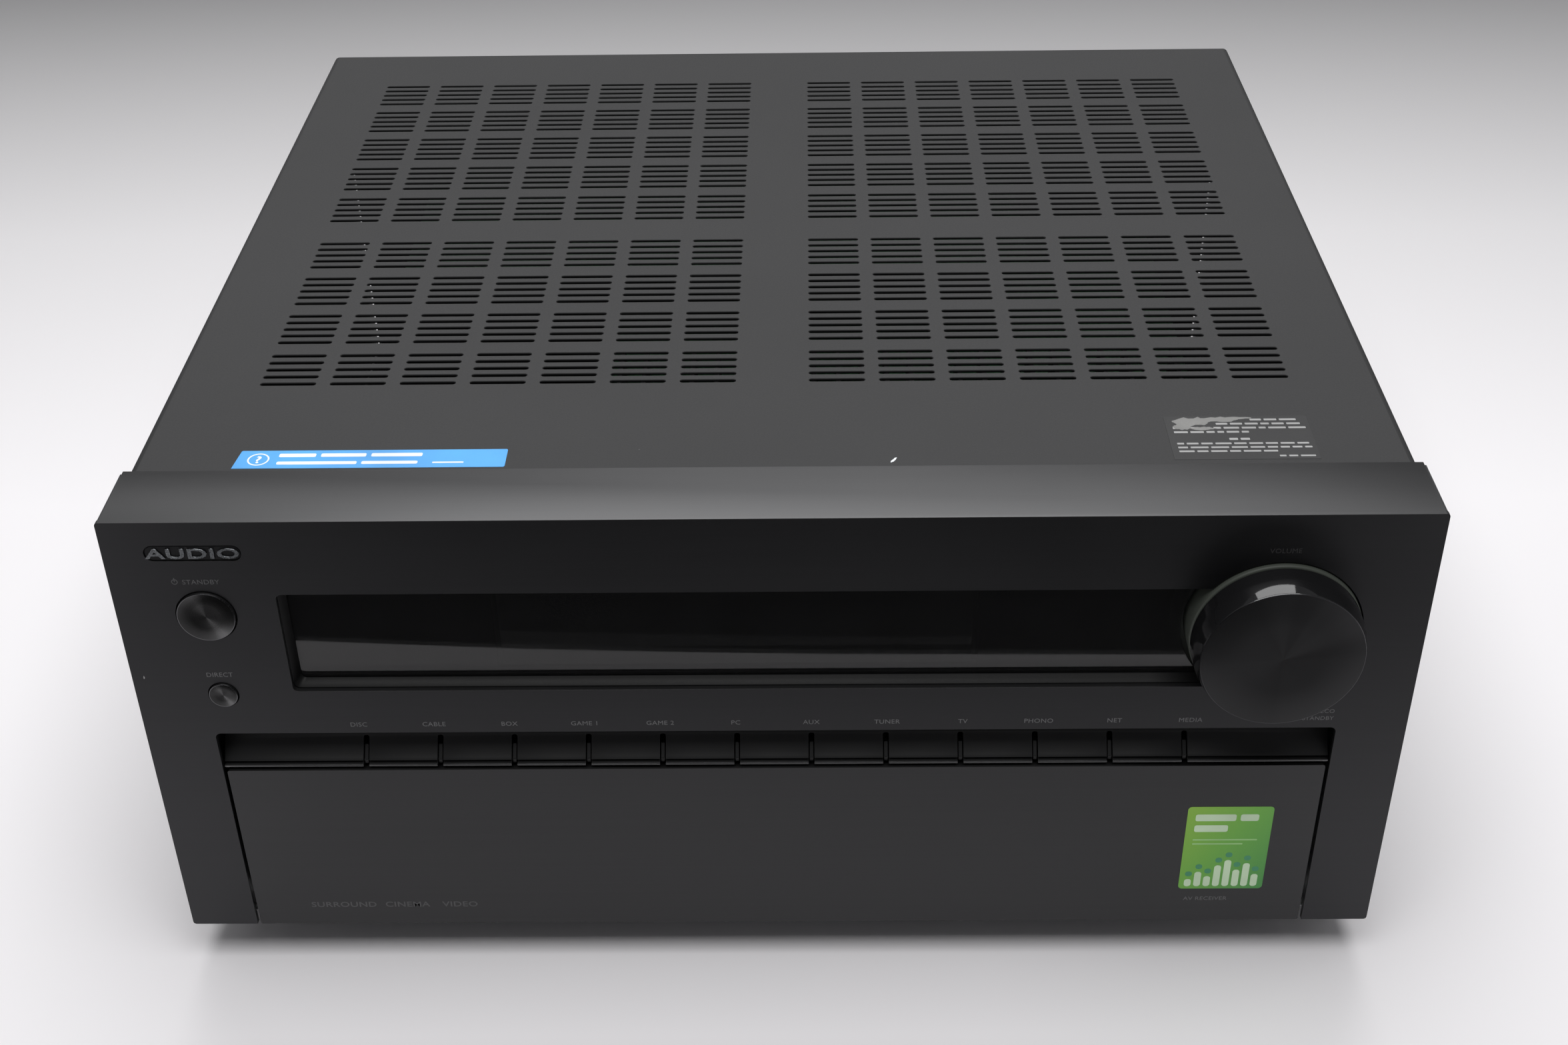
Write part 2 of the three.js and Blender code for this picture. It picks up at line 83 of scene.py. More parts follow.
def node_mm(name):
    lo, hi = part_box(name)
    return (
        Vector((lo.x * 1000, lo.y * 1000 - FRONT_Y, lo.z * 1000)),
        Vector((hi.x * 1000, hi.y * 1000 - FRONT_Y, hi.z * 1000)),
    )


# ------------------------------------------------------------------ camera
def set_camera():
    el, yaw, roll = math.radians(34.6325), math.radians(-0.9328), math.radians(-0.928)
    fwd = Vector((math.sin(yaw) * math.cos(el), math.cos(yaw) * math.cos(el), -math.sin(el)))
    right = fwd.cross(Vector((0, 0, 1))).normalized()
    up = right.cross(fwd)
    r2 = math.cos(roll) * right + math.sin(roll) * up
    u2 = -math.sin(roll) * right + math.cos(roll) * up
    cam = bpy.data.cameras.new("camera")
    cam.sensor_width = 36.0
    cam.lens = 3043.882 * 36.0 / 2352.0
    cam.clip_start, cam.clip_end = 0.02, 60
    ob = bpy.data.objects.new("camera", cam)
    bpy.context.scene.collection.objects.link(ob)
    m = Matrix((r2, u2, -fwd)).transposed().to_4x4()
    m.translation = P(13.4532, -535.2684, Z1 + 368.1949)
    ob.matrix_world = m
    bpy.context.scene.camera = ob


set_camera()


# ------------------------------------------------------------------ node helpers for materials
class Mat:
    def __init__(self, name, color, rough=0.5, metal=0.0, **sockets):
        self.m = bpy.data.materials.new(name)
        self.m.use_nodes = True
        self.t = self.m.node_tree
        self.t.nodes.clear()
        self.out = self.n("ShaderNodeOutputMaterial")
        self.b = self.n("ShaderNodeBsdfPrincipled")
        self.t.links.new(self.b.outputs[0], self.out.inputs[0])
        self.b.inputs["Base Color"].default_value = (*color, 1)
        self.b.inputs["Roughness"].default_value = rough
        self.b.inputs["Metallic"].default_value = metal
        for k, v in sockets.items():
            self.b.inputs[k.replace("_", " ")].default_value = v
        self.co = self.n("ShaderNodeTexCoord").outputs["Object"]

    def n(self, kind, **props):
        node = self.t.nodes.new(kind)
        for k, v in props.items():
            setattr(node, k, v)
        return node

    def link(self, a, b):
        self.t.links.new(a, b)

    def scaled(self, scale, location=(0, 0, 0)):
        mp = self.n("ShaderNodeMapping")
        mp.inputs["Scale"].default_value = scale
        mp.inputs["Location"].default_value = location
        self.link(self.co, mp.inputs["Vector"])
        return mp.outputs[0]

    def noise(self, scale, detail=2.0, rough=0.5, stretch=(1, 1, 1), distortion=0.0):
        tex = self.n("ShaderNodeTexNoise")
        tex.inputs["Scale"].default_value = scale
        tex.inputs["Detail"].default_value = detail
        tex.inputs["Roughness"].default_value = rough
        tex.inputs["Distortion"].default_value = distortion
        self.link(self.scaled(stretch), tex.inputs["Vector"])
        return tex.outputs["Fac"]

    def remap(self, value, a, b, c, d):
        mr = self.n("ShaderNodeMapRange")
        mr.inputs["From Min"].default_value = a
        mr.inputs["From Max"].default_value = b
        mr.inputs["To Min"].default_value = c
        mr.inputs["To Max"].default_value = d
        self.link(value, mr.inputs["Value"])
        return mr.outputs[0]

    def math(self, op, a, b):
        m = self.n("ShaderNodeMath", operation=op)
        for i, v in enumerate((a, b)):
            if hasattr(v, "links") or hasattr(v, "is_output"):
                self.link(v, m.inputs[i])
            else:
                m.inputs[i].default_value = v
        return m.outputs[0]

    def ramp(self, value, stops):
        r = self.n("ShaderNodeValToRGB")
        e = r.color_ramp.elements
        while len(e) < len(stops):
            e.new(0.5)
        for el, (pos, col) in zip(e, stops):
            el.position = pos
            el.color = (*col, 1)
        self.link(value, r.inputs[0])
        return r.outputs[0]

    def color(self, out):
        self.link(out, self.b.inputs["Base Color"])

    def rough(self, out):
        self.link(out, self.b.inputs["Roughness"])

    def bump(self, height, strength, distance):
        b = self.n("ShaderNodeBump")
        b.inputs["Strength"].default_value = strength
        b.inputs["Distance"].default_value = distance
        self.link(height, b.inputs["Height"])
        self.link(b.outputs[0], self.b.inputs["Normal"])
        return b


def brushed(name, color, rough, metal, aniso, spread=0.12):
    """Anodised aluminium with a hairline brush along X. Highlights run along V of the map 'brush', across the brush."""
    m = Mat(name, color, rough, metal, Anisotropic=aniso)
    tan = m.n("ShaderNodeTangent", direction_type="UV_MAP", uv_map="brush")
    m.link(tan.outputs[0], m.b.inputs["Tangent"])
    fine = m.noise(1.0, 3.0, 0.6, (14, 5200, 5200))
    wide = m.noise(1.0, 2.0, 0.5, (3, 900, 900))
    cloud = m.noise(9.0, 3.0, 0.55)
    streak = m.math("ADD", m.math("MULTIPLY", fine, 0.65), m.math("MULTIPLY", wide, 0.35))
    dark = tuple(c * (1 - spread) for c in color)
    light = tuple(c * (1 + spread) for c in color)
    mix = m.math("ADD", m.math("MULTIPLY", streak, 0.6), m.math("MULTIPLY", cloud, 0.4))
    m.color(m.ramp(mix, [(0.3, dark), (0.7, light)]))
    m.rough(m.remap(m.math("ADD", m.math("MULTIPLY", fine, 0.5), m.math("MULTIPLY", cloud, 0.5)), 0.3, 0.7, rough - 0.05, rough + 0.05))
    m.bump(fine, 0.10, 0.00002)
    return m.m


def moulded(name, color, rough, grain=0.0, scale=2600, metal=0.0, spec=0.5, coat=0.0):
    """Moulded plastic: faint mottling, and a grain of fine bumps."""
    m = Mat(name, color, rough, metal)
    m.b.inputs["Specular IOR Level"].default_value = spec
    m.b.inputs["Coat Weight"].default_value = coat
    cloud = m.noise(35.0, 3.0, 0.55)
    speck = m.noise(scale, 2.0, 0.6)
    m.color(m.ramp(cloud, [(0.3, tuple(c * 0.88 for c in color)), (0.7, tuple(c * 1.12 for c in color))]))
    m.rough(m.remap(speck, 0.3, 0.7, max(0.02, rough - 0.04), min(1, rough + 0.05)))
    if grain:
        m.bump(speck, grain, 0.00005)
    return m.m


def paint(name, color, rough, grain=0.25, scale=1500):
    """Powder-coated sheet: fine orange-peel grain, soft blotches and a few pale dust specks."""
    m = Mat(name, color, rough, 0.0)
    m.b.inputs["Specular IOR Level"].default_value = 0.12
    peel = m.noise(scale, 3.0, 0.6)
    cloud = m.noise(6.0, 4.0, 0.6)
    dust = m.noise(420.0, 2.0, 0.5)
    tone = m.ramp(cloud, [(0.3, tuple(c * 0.95 for c in color)), (0.7, tuple(c * 1.05 for c in color))])
    specks = m.remap(dust, 0.80, 0.83, 0.0, 0.16)
    mix = m.n("ShaderNodeMix", data_type="RGBA", blend_type="MIX")
    m.link(specks, mix.inputs[0])
    m.link(tone, mix.inputs[6])
    mix.inputs[7].default_value = (0.45, 0.45, 0.45, 1)
    m.color(mix.outputs[2])
    m.rough(m.remap(peel, 0.3, 0.7, rough - 0.06, rough + 0.06))
    m.bump(peel, grain, 0.00006)
    return m.m


def spun(name, color, rough, aniso, painted_fans, metal=1.0):
    """Metal faced on a lathe: faint fine rings, and painted fans of highlight and shade out from the centre, set in the
    base colour by angle.
    painted_fans is a list of (angle in degrees, tone) for that painted sheen; angle 0 is +X and 90 is up."""
    m = Mat(name, color, rough, metal, Anisotropic=aniso)
    tan = m.n("ShaderNodeTangent", direction_type="UV_MAP", uv_map="spin")
    m.link(tan.outputs[0], m.b.inputs["Tangent"])
    uv = m.n("ShaderNodeUVMap", uv_map="ring")
    sep = m.n("ShaderNodeSeparateXYZ")
    m.link(uv.outputs[0], sep.inputs[0])
    ring = m.n("ShaderNodeTexNoise")
    ring.noise_dimensions = "1D"
    ring.inputs["Scale"].default_value = 420
    ring.inputs["Detail"].default_value = 2
    m.link(sep.outputs[0], ring.inputs["W"])
    stops = sorted([((d % 360) / 360.0, tuple(c * k for c in color)) for d, k in painted_fans])
    # painted sheen: the colour is brighter or darker by angle, standing in for the highlights of the turned grooves
    painted_fan_sheen = m.ramp(sep.outputs[1], stops)
    fine = m.ramp(ring.outputs["Fac"], [(0.3, (0.93, 0.93, 0.93)), (0.7, (1.0, 1.0, 1.0))])
    mix = m.n("ShaderNodeMix", data_type="RGBA", blend_type="MULTIPLY")
    mix.inputs[0].default_value = 1.0
    m.link(painted_fan_sheen, mix.inputs[6])
    m.link(fine, mix.inputs[7])
    m.color(mix.outputs[2])
    m.rough(m.remap(ring.outputs["Fac"], 0.3, 0.7, rough - 0.02, rough + 0.02))
    return m.m


def plain_metal(name, color, rough, metal=1.0):
    m = Mat(name, color, rough, metal)
    cloud = m.noise(60.0, 3.0, 0.6)
    fine = m.noise(1800.0, 2.0, 0.6)
    m.color(m.ramp(cloud, [(0.3, tuple(c * 0.9 for c in color)), (0.7, tuple(c * 1.1 for c in color))]))
    m.rough(m.remap(fine, 0.3, 0.7, max(0.03, rough - 0.05), rough + 0.05))
    m.bump(fine, 0.05, 0.00002)
    return m.m


def board(name, color, second):
    """Circuit board: solder mask with a maze of slightly raised tracks."""
    m = Mat(name, color, 0.35)
    v = m.n("ShaderNodeTexVoronoi", feature="DISTANCE_TO_EDGE")
    v.distance = "EUCLIDEAN"
    v.inputs["Scale"].default_value = 190
    m.link(m.scaled((1, 1, 1)), v.inputs["Vector"])
    tracks = m.remap(v.outputs["Distance"], 0.02, 0.10, 1.0, 0.0)
    m.color(m.ramp(tracks, [(0.0, color), (1.0, second)]))
    m.bump(tracks, 0.4, 0.00005)
    return m.m


M = {}
M["fascia"] = brushed("fascia_black_hairline", (0.048, 0.048, 0.050), 0.40, 1.0, 0.3, 0.07)
# The top face: the same hairline metal in a lighter colour, a painted highlight for the sheen the top catches.
M["fascia_top_painted_highlight"] = brushed("fascia_top_hairline_painted_highlight", (0.098, 0.098, 0.100), 0.40, 1.0, 0.2, 0.06)
M["flap"] = brushed("flap_black_hairline", (0.058, 0.058, 0.0594), 0.40, 1.0, 0.3, 0.07)
M["cover"] = paint("cover_grey_paint", (0.041, 0.041, 0.042), 0.52)
M["cover_edge"] = paint("cover_cut_edge", (0.035, 0.035, 0.036), 0.5)
M["rear"] = paint("rear_black_paint", (0.018, 0.018, 0.019), 0.45)
M["black"] = moulded("black_moulding", (0.008, 0.008, 0.0085), 0.42, 0.15)
M["strip"] = moulded("strip_satin_black", (0.0085, 0.0085, 0.0088), 0.52, 0.05, spec=0.30)
M["gloss"] = moulded("gloss_black", (0.004, 0.004, 0.0045), 0.10)
M["key"] = moulded("key_black", (0.0095, 0.0095, 0.0098), 0.34, spec=0.35)
# Knob face: the fan tones are painted highlight and shade by angle round the centre.
M["knob_face"] = spun("knob_spun_face_painted_fans", (0.053, 0.053, 0.0545), 0.40, 0.5, [
    (0, 0.80), (8, 0.72), (16, 0.74), (28, 0.95), (42, 1.02), (55, 0.95), (64, 0.98), (72, 0.84), (84, 0.86), (92, 1.00), (102, 1.04), (116, 0.92),
    (135, 1.0), (158, 1.0), (176, 0.96), (186, 1.0), (205, 0.9), (240, 0.78), (268, 0.72), (276, 0.78), (290, 0.80), (320, 0.80), (345, 0.82), (359.9, 0.80)])
M["knob_side"] = moulded("knob_polished_side", (0.008, 0.008, 0.0085), 0.05, spec=0.9)
M["knob_rim"] = plain_metal("knob_bright_rim", (0.065, 0.065, 0.068), 0.25)
# Button face: the bright fans at upper left and lower right are painted highlights, the darker ones painted shade.
M["button_face"] = spun("button_spun_face_painted_fans", (0.044, 0.044, 0.0444), 0.26, 0.5, [
    (0, 1.0), (20, 1.05), (45, 0.95), (70, 0.85), (88, 0.9), (100, 1.8), (112, 2.2), (130, 1.5), (150, 1.0), (172, 0.9), (184, 0.75), (215, 0.72),
    (245, 0.85), (268, 1.15), (283, 1.7), (296, 3.2), (308, 3.5), (320, 2.2), (335, 1.35), (350, 1.05), (359.9, 1.0)])
M["collar"] = moulded("collar_satin", (0.056, 0.063, 0.053), 0.5, 0.02, spec=0.3)
M["screw"] = plain_metal("screw_black_zinc", (0.05, 0.05, 0.052), 0.35)
M["steel"] = plain_metal("zinc_plated", (0.42, 0.43, 0.43), 0.4)
M["nickel"] = plain_metal("nickel_shell", (0.55, 0.54, 0.52), 0.28)
M["gold"] = plain_metal("gold_flash", (0.75, 0.55, 0.22), 0.25)
M["foot"] = moulded("foot_black", (0.010, 0.010, 0.010), 0.55, 0.4, 1200)
M["pad"] = moulded("foot_felt", (0.02, 0.02, 0.02), 0.95, 0.8, 2500)
M["pcb"] = board("circuit_board", (0.015, 0.06, 0.025), (0.03, 0.11, 0.045))
M["iron"] = plain_metal("varnished_iron", (0.10, 0.10, 0.105), 0.45)
M["fins"] = plain_metal("black_fins", (0.05, 0.05, 0.052), 0.45)
M["sleeve"] = moulded("capacitor_sleeve", (0.01, 0.012, 0.02), 0.25)
M["socket"] = moulded("socket_black", (0.010, 0.010, 0.0105), 0.4, 0.1)
M["silver"] = plain_metal("badge_silver", (0.30, 0.315, 0.33), 0.28)
M["badge_base"] = plain_metal("badge_base", (0.03, 0.03, 0.031), 0.4)
M["ink"] = moulded("label_ink_grey", (0.135, 0.135, 0.138), 0.6)
M["ink_dim"] = moulded("label_ink_dim", (0.080, 0.080, 0.082), 0.6)
M["ink_white"] = moulded("label_ink_white", (0.72, 0.74, 0.76), 0.5)
M["ink_faint"] = moulded("label_ink_faint", (0.030, 0.029, 0.030), 0.6)
M["ink_ghost"] = moulded("label_ink_ghost", (0.075, 0.075, 0.077), 0.5)
M["button_rim"] = plain_metal("button_rim", (0.12, 0.12, 0.125), 0.25)
M["bezel"] = moulded("bezel_satin_black", (0.0036, 0.0036, 0.0038), 0.46, 0.05, spec=0.20)
# Polished lip along the strip's lower front edge: real gloss, with a base colour lighter than the strip's as a painted
# highlight for the glint it catches.
M["lip"] = moulded("strip_polished_lip_painted_glint", (0.030, 0.030, 0.031), 0.16, spec=0.9)
M["clearblack"] = moulded("terminal_black", (0.006, 0.006, 0.006), 0.18, spec=0.7)


def green_label_material():
    """Printed film: yellow-green at the upper left, fading to a deeper green at the lower right."""
    m = Mat("label_green", (0.140, 0.430, 0.055), 0.32)
    sep = m.n("ShaderNodeSeparateXYZ")
    m.link(m.co, sep.inputs[0])
    across = m.remap(sep.outputs[0], 0.1465, 0.177, 0.0, 0.55)
    down = m.remap(sep.outputs[2], 0.0732, 0.0331, 0.0, 0.45)
    speck = m.math("MULTIPLY", m.noise(900.0, 2.0, 0.5), 0.06)
    tone = m.ramp(m.math("ADD", m.math("ADD", across, down), speck), [(0.0, (0.270, 0.520, 0.045)), (0.5, (0.150, 0.440, 0.050)), (1.0, (0.060, 0.300, 0.060))])
    m.color(tone)
    return m.m


M["label_green"] = green_label_material()
M["label_pale"] = moulded("label_pale_green", (0.62, 0.80, 0.55), 0.35)
M["label_mint"] = moulded("label_mint", (0.32, 0.60, 0.22), 0.35)
M["label_teal"] = moulded("label_teal", (0.05, 0.28, 0.13), 0.35)
M["label_blue"] = moulded("label_blue", (0.045, 0.33, 0.76), 0.35)
M["label_white"] = moulded("label_white", (0.80, 0.84, 0.88), 0.4)
M["label_black"] = moulded("label_black", (0.024, 0.024, 0.025), 0.45, spec=0.25)
M["label_grey"] = moulded("label_grey", (0.33, 0.33, 0.33), 0.45)
M["label_scuff"] = plain_metal("label_scuffed_foil", (0.20, 0.20, 0.195), 0.42)
M["red"] = moulded("red_plastic", (0.40, 0.012, 0.012), 0.35)
M["white"] = moulded("white_plastic", (0.60, 0.60, 0.58), 0.35)
M["yellow"] = moulded("yellow_plastic", (0.65, 0.42, 0.02), 0.35)
M["green"] = moulded("green_plastic", (0.02, 0.25, 0.05), 0.35)
M["blue"] = moulded("blue_plastic", (0.02, 0.06, 0.40), 0.35)


def window_material():
    """Smoked acrylic: a polished dark skin that lets a little of the display tube through."""
    m = Mat("smoked_window", (0.0035, 0.0035, 0.0038), 0.03, 0.0)
    m.b.inputs["IOR"].default_value = 1.61
    m.b.inputs["Alpha"].default_value = 0.66
    smear = m.noise(24.0, 3.0, 0.55)
    m.rough(m.remap(smear, 0.35, 0.75, 0.012, 0.035))
    haze = m.noise(60.0, 4.0, 0.6)
    m.color(m.ramp(haze, [(0.35, (0.0060, 0.0060, 0.0062)), (0.75, (0.0085, 0.0085, 0.0088))]))
    return m.m


def display_material():
    m = Mat("display_glass", (0.010, 0.013, 0.013), 0.03, 0.0)
    m.b.inputs["IOR"].default_value = 2.6
    grid = m.n("ShaderNodeTexWave", wave_type="BANDS", bands_direction="X")
    grid.inputs["Scale"].default_value = 95
    m.link(m.scaled((1, 1, 1)), grid.inputs["Vector"])
    m.color(m.ramp(grid.outputs["Fac"], [(0.0, (0.010, 0.013, 0.013)), (1.0, (0.016, 0.019, 0.019))]))
    return m.m


M["window"] = window_material()
M["display"] = display_material()


# ------------------------------------------------------------------ mesh helpers
def finish_mesh(name, me, mats, body, replaces=(), sharp=30):
    """Adds the mesh as a piece on a body. sharp=None keeps the faces' own flat or smooth shading."""
    if sharp is not None:
        for p in me.polygons:
            p.use_smooth = True
        me.set_sharp_from_angle(angle=math.radians(sharp))
    for m in mats:
        me.materials.append(M[m] if isinstance(m, str) else m)
    ob = bpy.data.objects.new(name, me)
    bpy.context.scene.collection.objects.link(ob)
    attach(ob, body)
    if replaces:
        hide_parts(*replaces)
    return ob


def brush_map(me):
    """Map 'brush': U across the hairline, V along X."""
    uv = me.uv_layers.new(name="brush")
    for poly in me.polygons:
        n = poly.normal
        for li in poly.loop_indices:
            co = me.vertices[me.loops[li].vertex_index].co
            if abs(n.x) > 0.8:
                uv.data[li].uv = (co.z * 4, co.y * 4)
            elif abs(n.z) > abs(n.y):
                uv.data[li].uv = (co.y * 4, co.x * 4)
            else:
                uv.data[li].uv = (co.z * 4, co.x * 4)


def spin_maps(me, cx, cz):
    """Map 'spin': U out from the centre x, z. Map 'ring': U is the radius."""
    uv = me.uv_layers.new(name="spin")
    ring = me.uv_layers.new(name="ring")
    for poly in me.polygons:
        c = poly.center
        a0 = math.atan2(c.z - cz * MM, c.x - cx * MM)
        for li in poly.loop_indices:
            co = me.vertices[me.loops[li].vertex_index].co
            dx, dz = co.x - cx * MM, co.z - cz * MM
            u = dx * math.cos(a0) + dz * math.sin(a0)
            v = -dx * math.sin(a0) + dz * math.cos(a0)
            uv.data[li].uv = (u * 30, v * 30)
            r = math.hypot(dx, dz)
            turn = a0 + (math.remainder(math.atan2(dz, dx) - a0, 2 * math.pi) if r > 1e-6 else 0.0)
            ring.data[li].uv = (r / 0.03, (turn / (2 * math.pi)) % 1.0 if abs(math.sin(a0)) > 0.06 or a0 > 1 or a0 < -1 else min(0.9999, max(0.0, (turn if a0 >= 0 else turn + 2 * math.pi) / (2 * math.pi))))


def refine(node, width, mats, segments=2, angle=30, brush=False, name=None, pick=None):
    """A CAD node's shape with its edges rounded by width mm. It stands for the node.
    pick(x, y, z, normal) gives a face's material index from its centre in millimetres."""
    src = frame["nodes"][node]
    me = src.data.copy()
    me.materials.clear()
    for a in list(me.color_attributes):
        me.color_attributes.remove(a)
    while me.uv_layers:
        me.uv_layers.remove(me.uv_layers[0])
    bm = bmesh.new()
    bm.from_mesh(me)
    bmesh.ops.remove_doubles(bm, verts=bm.verts, dist=1e-6)
    bmesh.ops.dissolve_limit(bm, angle_limit=math.radians(0.4), verts=bm.verts, edges=bm.edges, delimit=set())
    bm.normal_update()
    edges = [e for e in bm.edges if len(e.link_faces) == 2 and e.calc_face_angle(0) > math.radians(angle)]
    for f in bm.faces:
        f.smooth = False
        for e in f.edges:
            if len(e.link_faces) == 2 and math.radians(0.6) < e.calc_face_angle(0) <= math.radians(angle):
                f.smooth = True
    if width > 0:
        made = bmesh.ops.bevel(bm, geom=edges, offset=width * MM, offset_type="OFFSET", segments=segments, profile=0.5, affect="EDGES", clamp_overlap=True)
        for f in made["faces"]:
            f.smooth = True
    for f in bm.faces:
        c = f.calc_center_median()
        f.material_index = pick(c.x * 1000, c.y * 1000 - FRONT_Y, c.z * 1000, f.normal) if pick else 0
    out = bpy.data.meshes.new(name or node + "_finished")
    bm.to_mesh(out)
    bm.free()
    bpy.data.meshes.remove(me)
    if brush:
        brush_map(out)
    body = [b for b, o in frame["bodies"].items() if src.parent == o][0]
    return finish_mesh(out.name, out, mats, body, (node,), None)


def offset_loop(loop, d):
    """Moves a closed loop of 2-D points sideways by d, to the left of its direction of travel."""
    n = len(loop)
    out = []
    for i in range(n):
        a, b, c = Vector(loop[i - 1]), Vector(loop[i]), Vector(loop[(i + 1) % n])
        e0, e1 = (b - a).normalized(), (c - b).normalized()
        n0, n1 = Vector((-e0.y, e0.x)), Vector((-e1.y, e1.x))
        m = n0 + n1
        if m.length < 1e-9:
            m = n0
        m.normalize()
        k = max(0.35, m.dot(n0))
        out.append(tuple(b + m * (d / k)))
    return out


def area(loop):
    return 0.5 * sum(loop[i - 1][0] * loop[i][1] - loop[i][0] * loop[i - 1][1] for i in range(len(loop)))


def ccw(loop):
    return loop if area(loop) > 0 else loop[::-1]


def rounded(x0, x1, z0, z1, r, n=5):
    pts = []
    for cx, cz, a0 in ((x1 - r, z0 + r, -90), (x1 - r, z1 - r, 0), (x0 + r, z1 - r, 90), (x0 + r, z0 + r, 180)):
        for i in range(n + 1):
            a = math.radians(a0 + 90 * i / n)
            pts.append((cx + r * math.cos(a), cz + r * math.sin(a)))
    clean = [pts[0]]
    for p in pts[1:]:
        if math.dist(p, clean[-1]) > 1e-4:
            clean.append(p)
    if math.dist(clean[0], clean[-1]) < 1e-4:
        clean.pop()
    return clean


def circle(cx, cz, r, n=64):
    return [(cx + r * math.cos(2 * math.pi * i / n), cz + r * math.sin(2 * math.pi * i / n)) for i in range(n)]


def plate(bm, outer, holes, to3d, depth, chamfer=0.2, steps=2, back=True, mat=0, edge_mat=None):
    """Adds a plate with holes: drawn in 2-D, to3d(u, v, d) places a point at depth d behind the face.
    Every edge on the face side is rounded by chamfer."""
    edge_mat = mat if edge_mat is None else edge_mat
    loops = [ccw(outer)] + [ccw(h)[::-1] for h in holes]  # material is always on the left
    rings_all = []
    for loop in loops:
        rings = []
        for s in range(steps + 1):
            a = math.pi / 2 * s / steps
            inset = chamfer * (1 - math.sin(a))
            d = chamfer * (1 - math.cos(a))
            pts = offset_loop(loop, inset) if inset > 1e-9 else loop
            rings.append([bm.verts.new(to3d(u, v, d)) for u, v in pts])
        if back:
            rings.append([bm.verts.new(to3d(u, v, depth)) for u, v in loop])
        rings_all.append((loop, offset_loop(loop, chamfer) if chamfer > 0 else loop, rings))

    def cap(level, loops2d, flip):
        pts, owners, edges = [], [], []
        for loop2d, (_, _, rings) in zip(loops2d, rings_all):
            base = len(pts)
            k = len(loop2d)
            pts += [Vector(p) for p in loop2d]
            owners += rings[level]
            edges += [(base + i, base + (i + 1) % k) for i in range(k)]
        vs, _, faces, ov, _, _ = delaunay_2d_cdt(pts, edges, [], 2, 1e-7)
        faces = [f for f in faces if inside(vs, f, loops2d)]
        for f in faces:
            ids = [ov[i][0] for i in f if ov[i]]
            if len(ids) < 3 or len(set(ids)) < 3:
                continue
            verts = [owners[i] for i in ids]
            if flip:
                verts.reverse()
            try:
                face = bm.faces.new(verts)
                face.material_index = mat
            except ValueError:
                pass

    cap(0, [o[1] for o in rings_all], False)
    if back:
        cap(-1, [o[0] for o in rings_all], True)
    for loop, _, rings in rings_all:
        k = len(loop)
        for a, b in zip(rings, rings[1:]):
            for i in range(k):
                j = (i + 1) % k
                try:
                    f = bm.faces.new((a[i], b[i], b[j], a[j]))
                    f.material_index = edge_mat
                    f.smooth = True
                except ValueError:
                    pass
    return rings_all


def point_in(p, loop):
    x, y = p
    hit = False
    for i in range(len(loop)):
        x0, y0 = loop[i - 1]
        x1, y1 = loop[i]
        if (y0 > y) != (y1 > y) and x < (x1 - x0) * (y - y0) / (y1 - y0) + x0:
            hit = not hit
    return hit


def inside(vs, f, loops2d):
    cx = sum(vs[i].x for i in f) / len(f)
    cy = sum(vs[i].y for i in f) / len(f)
    if not point_in((cx, cy), loops2d[0]):
        return False
    for h in loops2d[1:]:
        if min(p[0] for p in h) < cx < max(p[0] for p in h) and point_in((cx, cy), h):
            return False
    return True


def mesh_from(bm, name):
    bmesh.ops.recalc_face_normals(bm, faces=bm.faces)
    me = bpy.data.meshes.new(name)
    bm.to_mesh(me)
    bm.free()
    return me


def turn_into(bm, place, profile, n=48):
    """Adds a turned body. profile holds (radius, height[, material[, ridge]]); place(u, v, h) puts a point down.
    A point's material colours the band that ends there; ridge makes every second spoke stand that much further out."""
    rings = []
    for p in profile:
        r, h = p[0], p[1]
        ridge = p[3] if len(p) > 3 else 0
        if r < 1e-6:
            rings.append([bm.verts.new(place(0, 0, h))])
        else:
            ring = []
            for i in range(n):
                a = 2 * math.pi * i / n
                q = r + (ridge if i % 4 in (0, 1) else 0)
                ring.append(bm.verts.new(place(q * math.cos(a), q * math.sin(a), h)))
            rings.append(ring)
    pairs = list(zip(range(len(profile)), range(1, len(profile))))
    if profile[0][0] > 1e-6:
        pairs.append((len(profile) - 1, 0))
    for ia, ib in pairs:
        a, b = rings[ia], rings[ib]
        mat = profile[ib][2] if len(profile[ib]) > 2 else 0
        for i in range(n):
            j = (i + 1) % n
            if len(a) == 1 and len(b) == 1:
                continue
            if len(a) == 1:
                vs = (a[0], b[i], b[j])
            elif len(b) == 1:
                vs = (a[i], b[0], a[j])
            else:
                vs = (a[i], b[i], b[j], a[j])
            bm.faces.new(vs).material_index = mat


def turned(name, cx, cz, profile, mats, body, n=96, replaces=(), spin=False, sharp=30):
    """A turned piece about the Y axis through x, z."""
    bm = bmesh.new()
    turn_into(bm, lambda u, v, h: P(cx + u, h, cz + v), profile, n)
    me = mesh_from(bm, name)
    if spin:
        spin_maps(me, cx, cz)
    return finish_mesh(name, me, mats, body, replaces, sharp)


def box_into(bm, x0, x1, y0, y1, z0, z1, mat=0, r=0.0):
    """Adds a box; r rounds its edges."""
    v = [bm.verts.new(P(x, y, z)) for x in (x0, x1) for y in (y0, y1) for z in (z0, z1)]
    faces = [bm.faces.new([v[i] for i in q]) for q in ((0, 1, 3, 2), (4, 6, 7, 5), (0, 4, 5, 1), (2, 3, 7, 6), (0, 2, 6, 4), (1, 5, 7, 3))]
    bmesh.ops.recalc_face_normals(bm, faces=faces)
    for f in faces:
        f.material_index = mat
    if r > 0:
        edges = list({e for f in faces for e in f.edges})
        made = bmesh.ops.bevel(bm, geom=edges, offset=r * MM, offset_type="OFFSET", segments=2, profile=0.5, affect="EDGES", clamp_overlap=True)
        for f in made["faces"]:
            f.material_index = mat
            f.smooth = True


def smooth_by(me, angle=30):
    for p in me.polygons:
        p.use_smooth = True
    me.set_sharp_from_angle(angle=math.radians(angle))


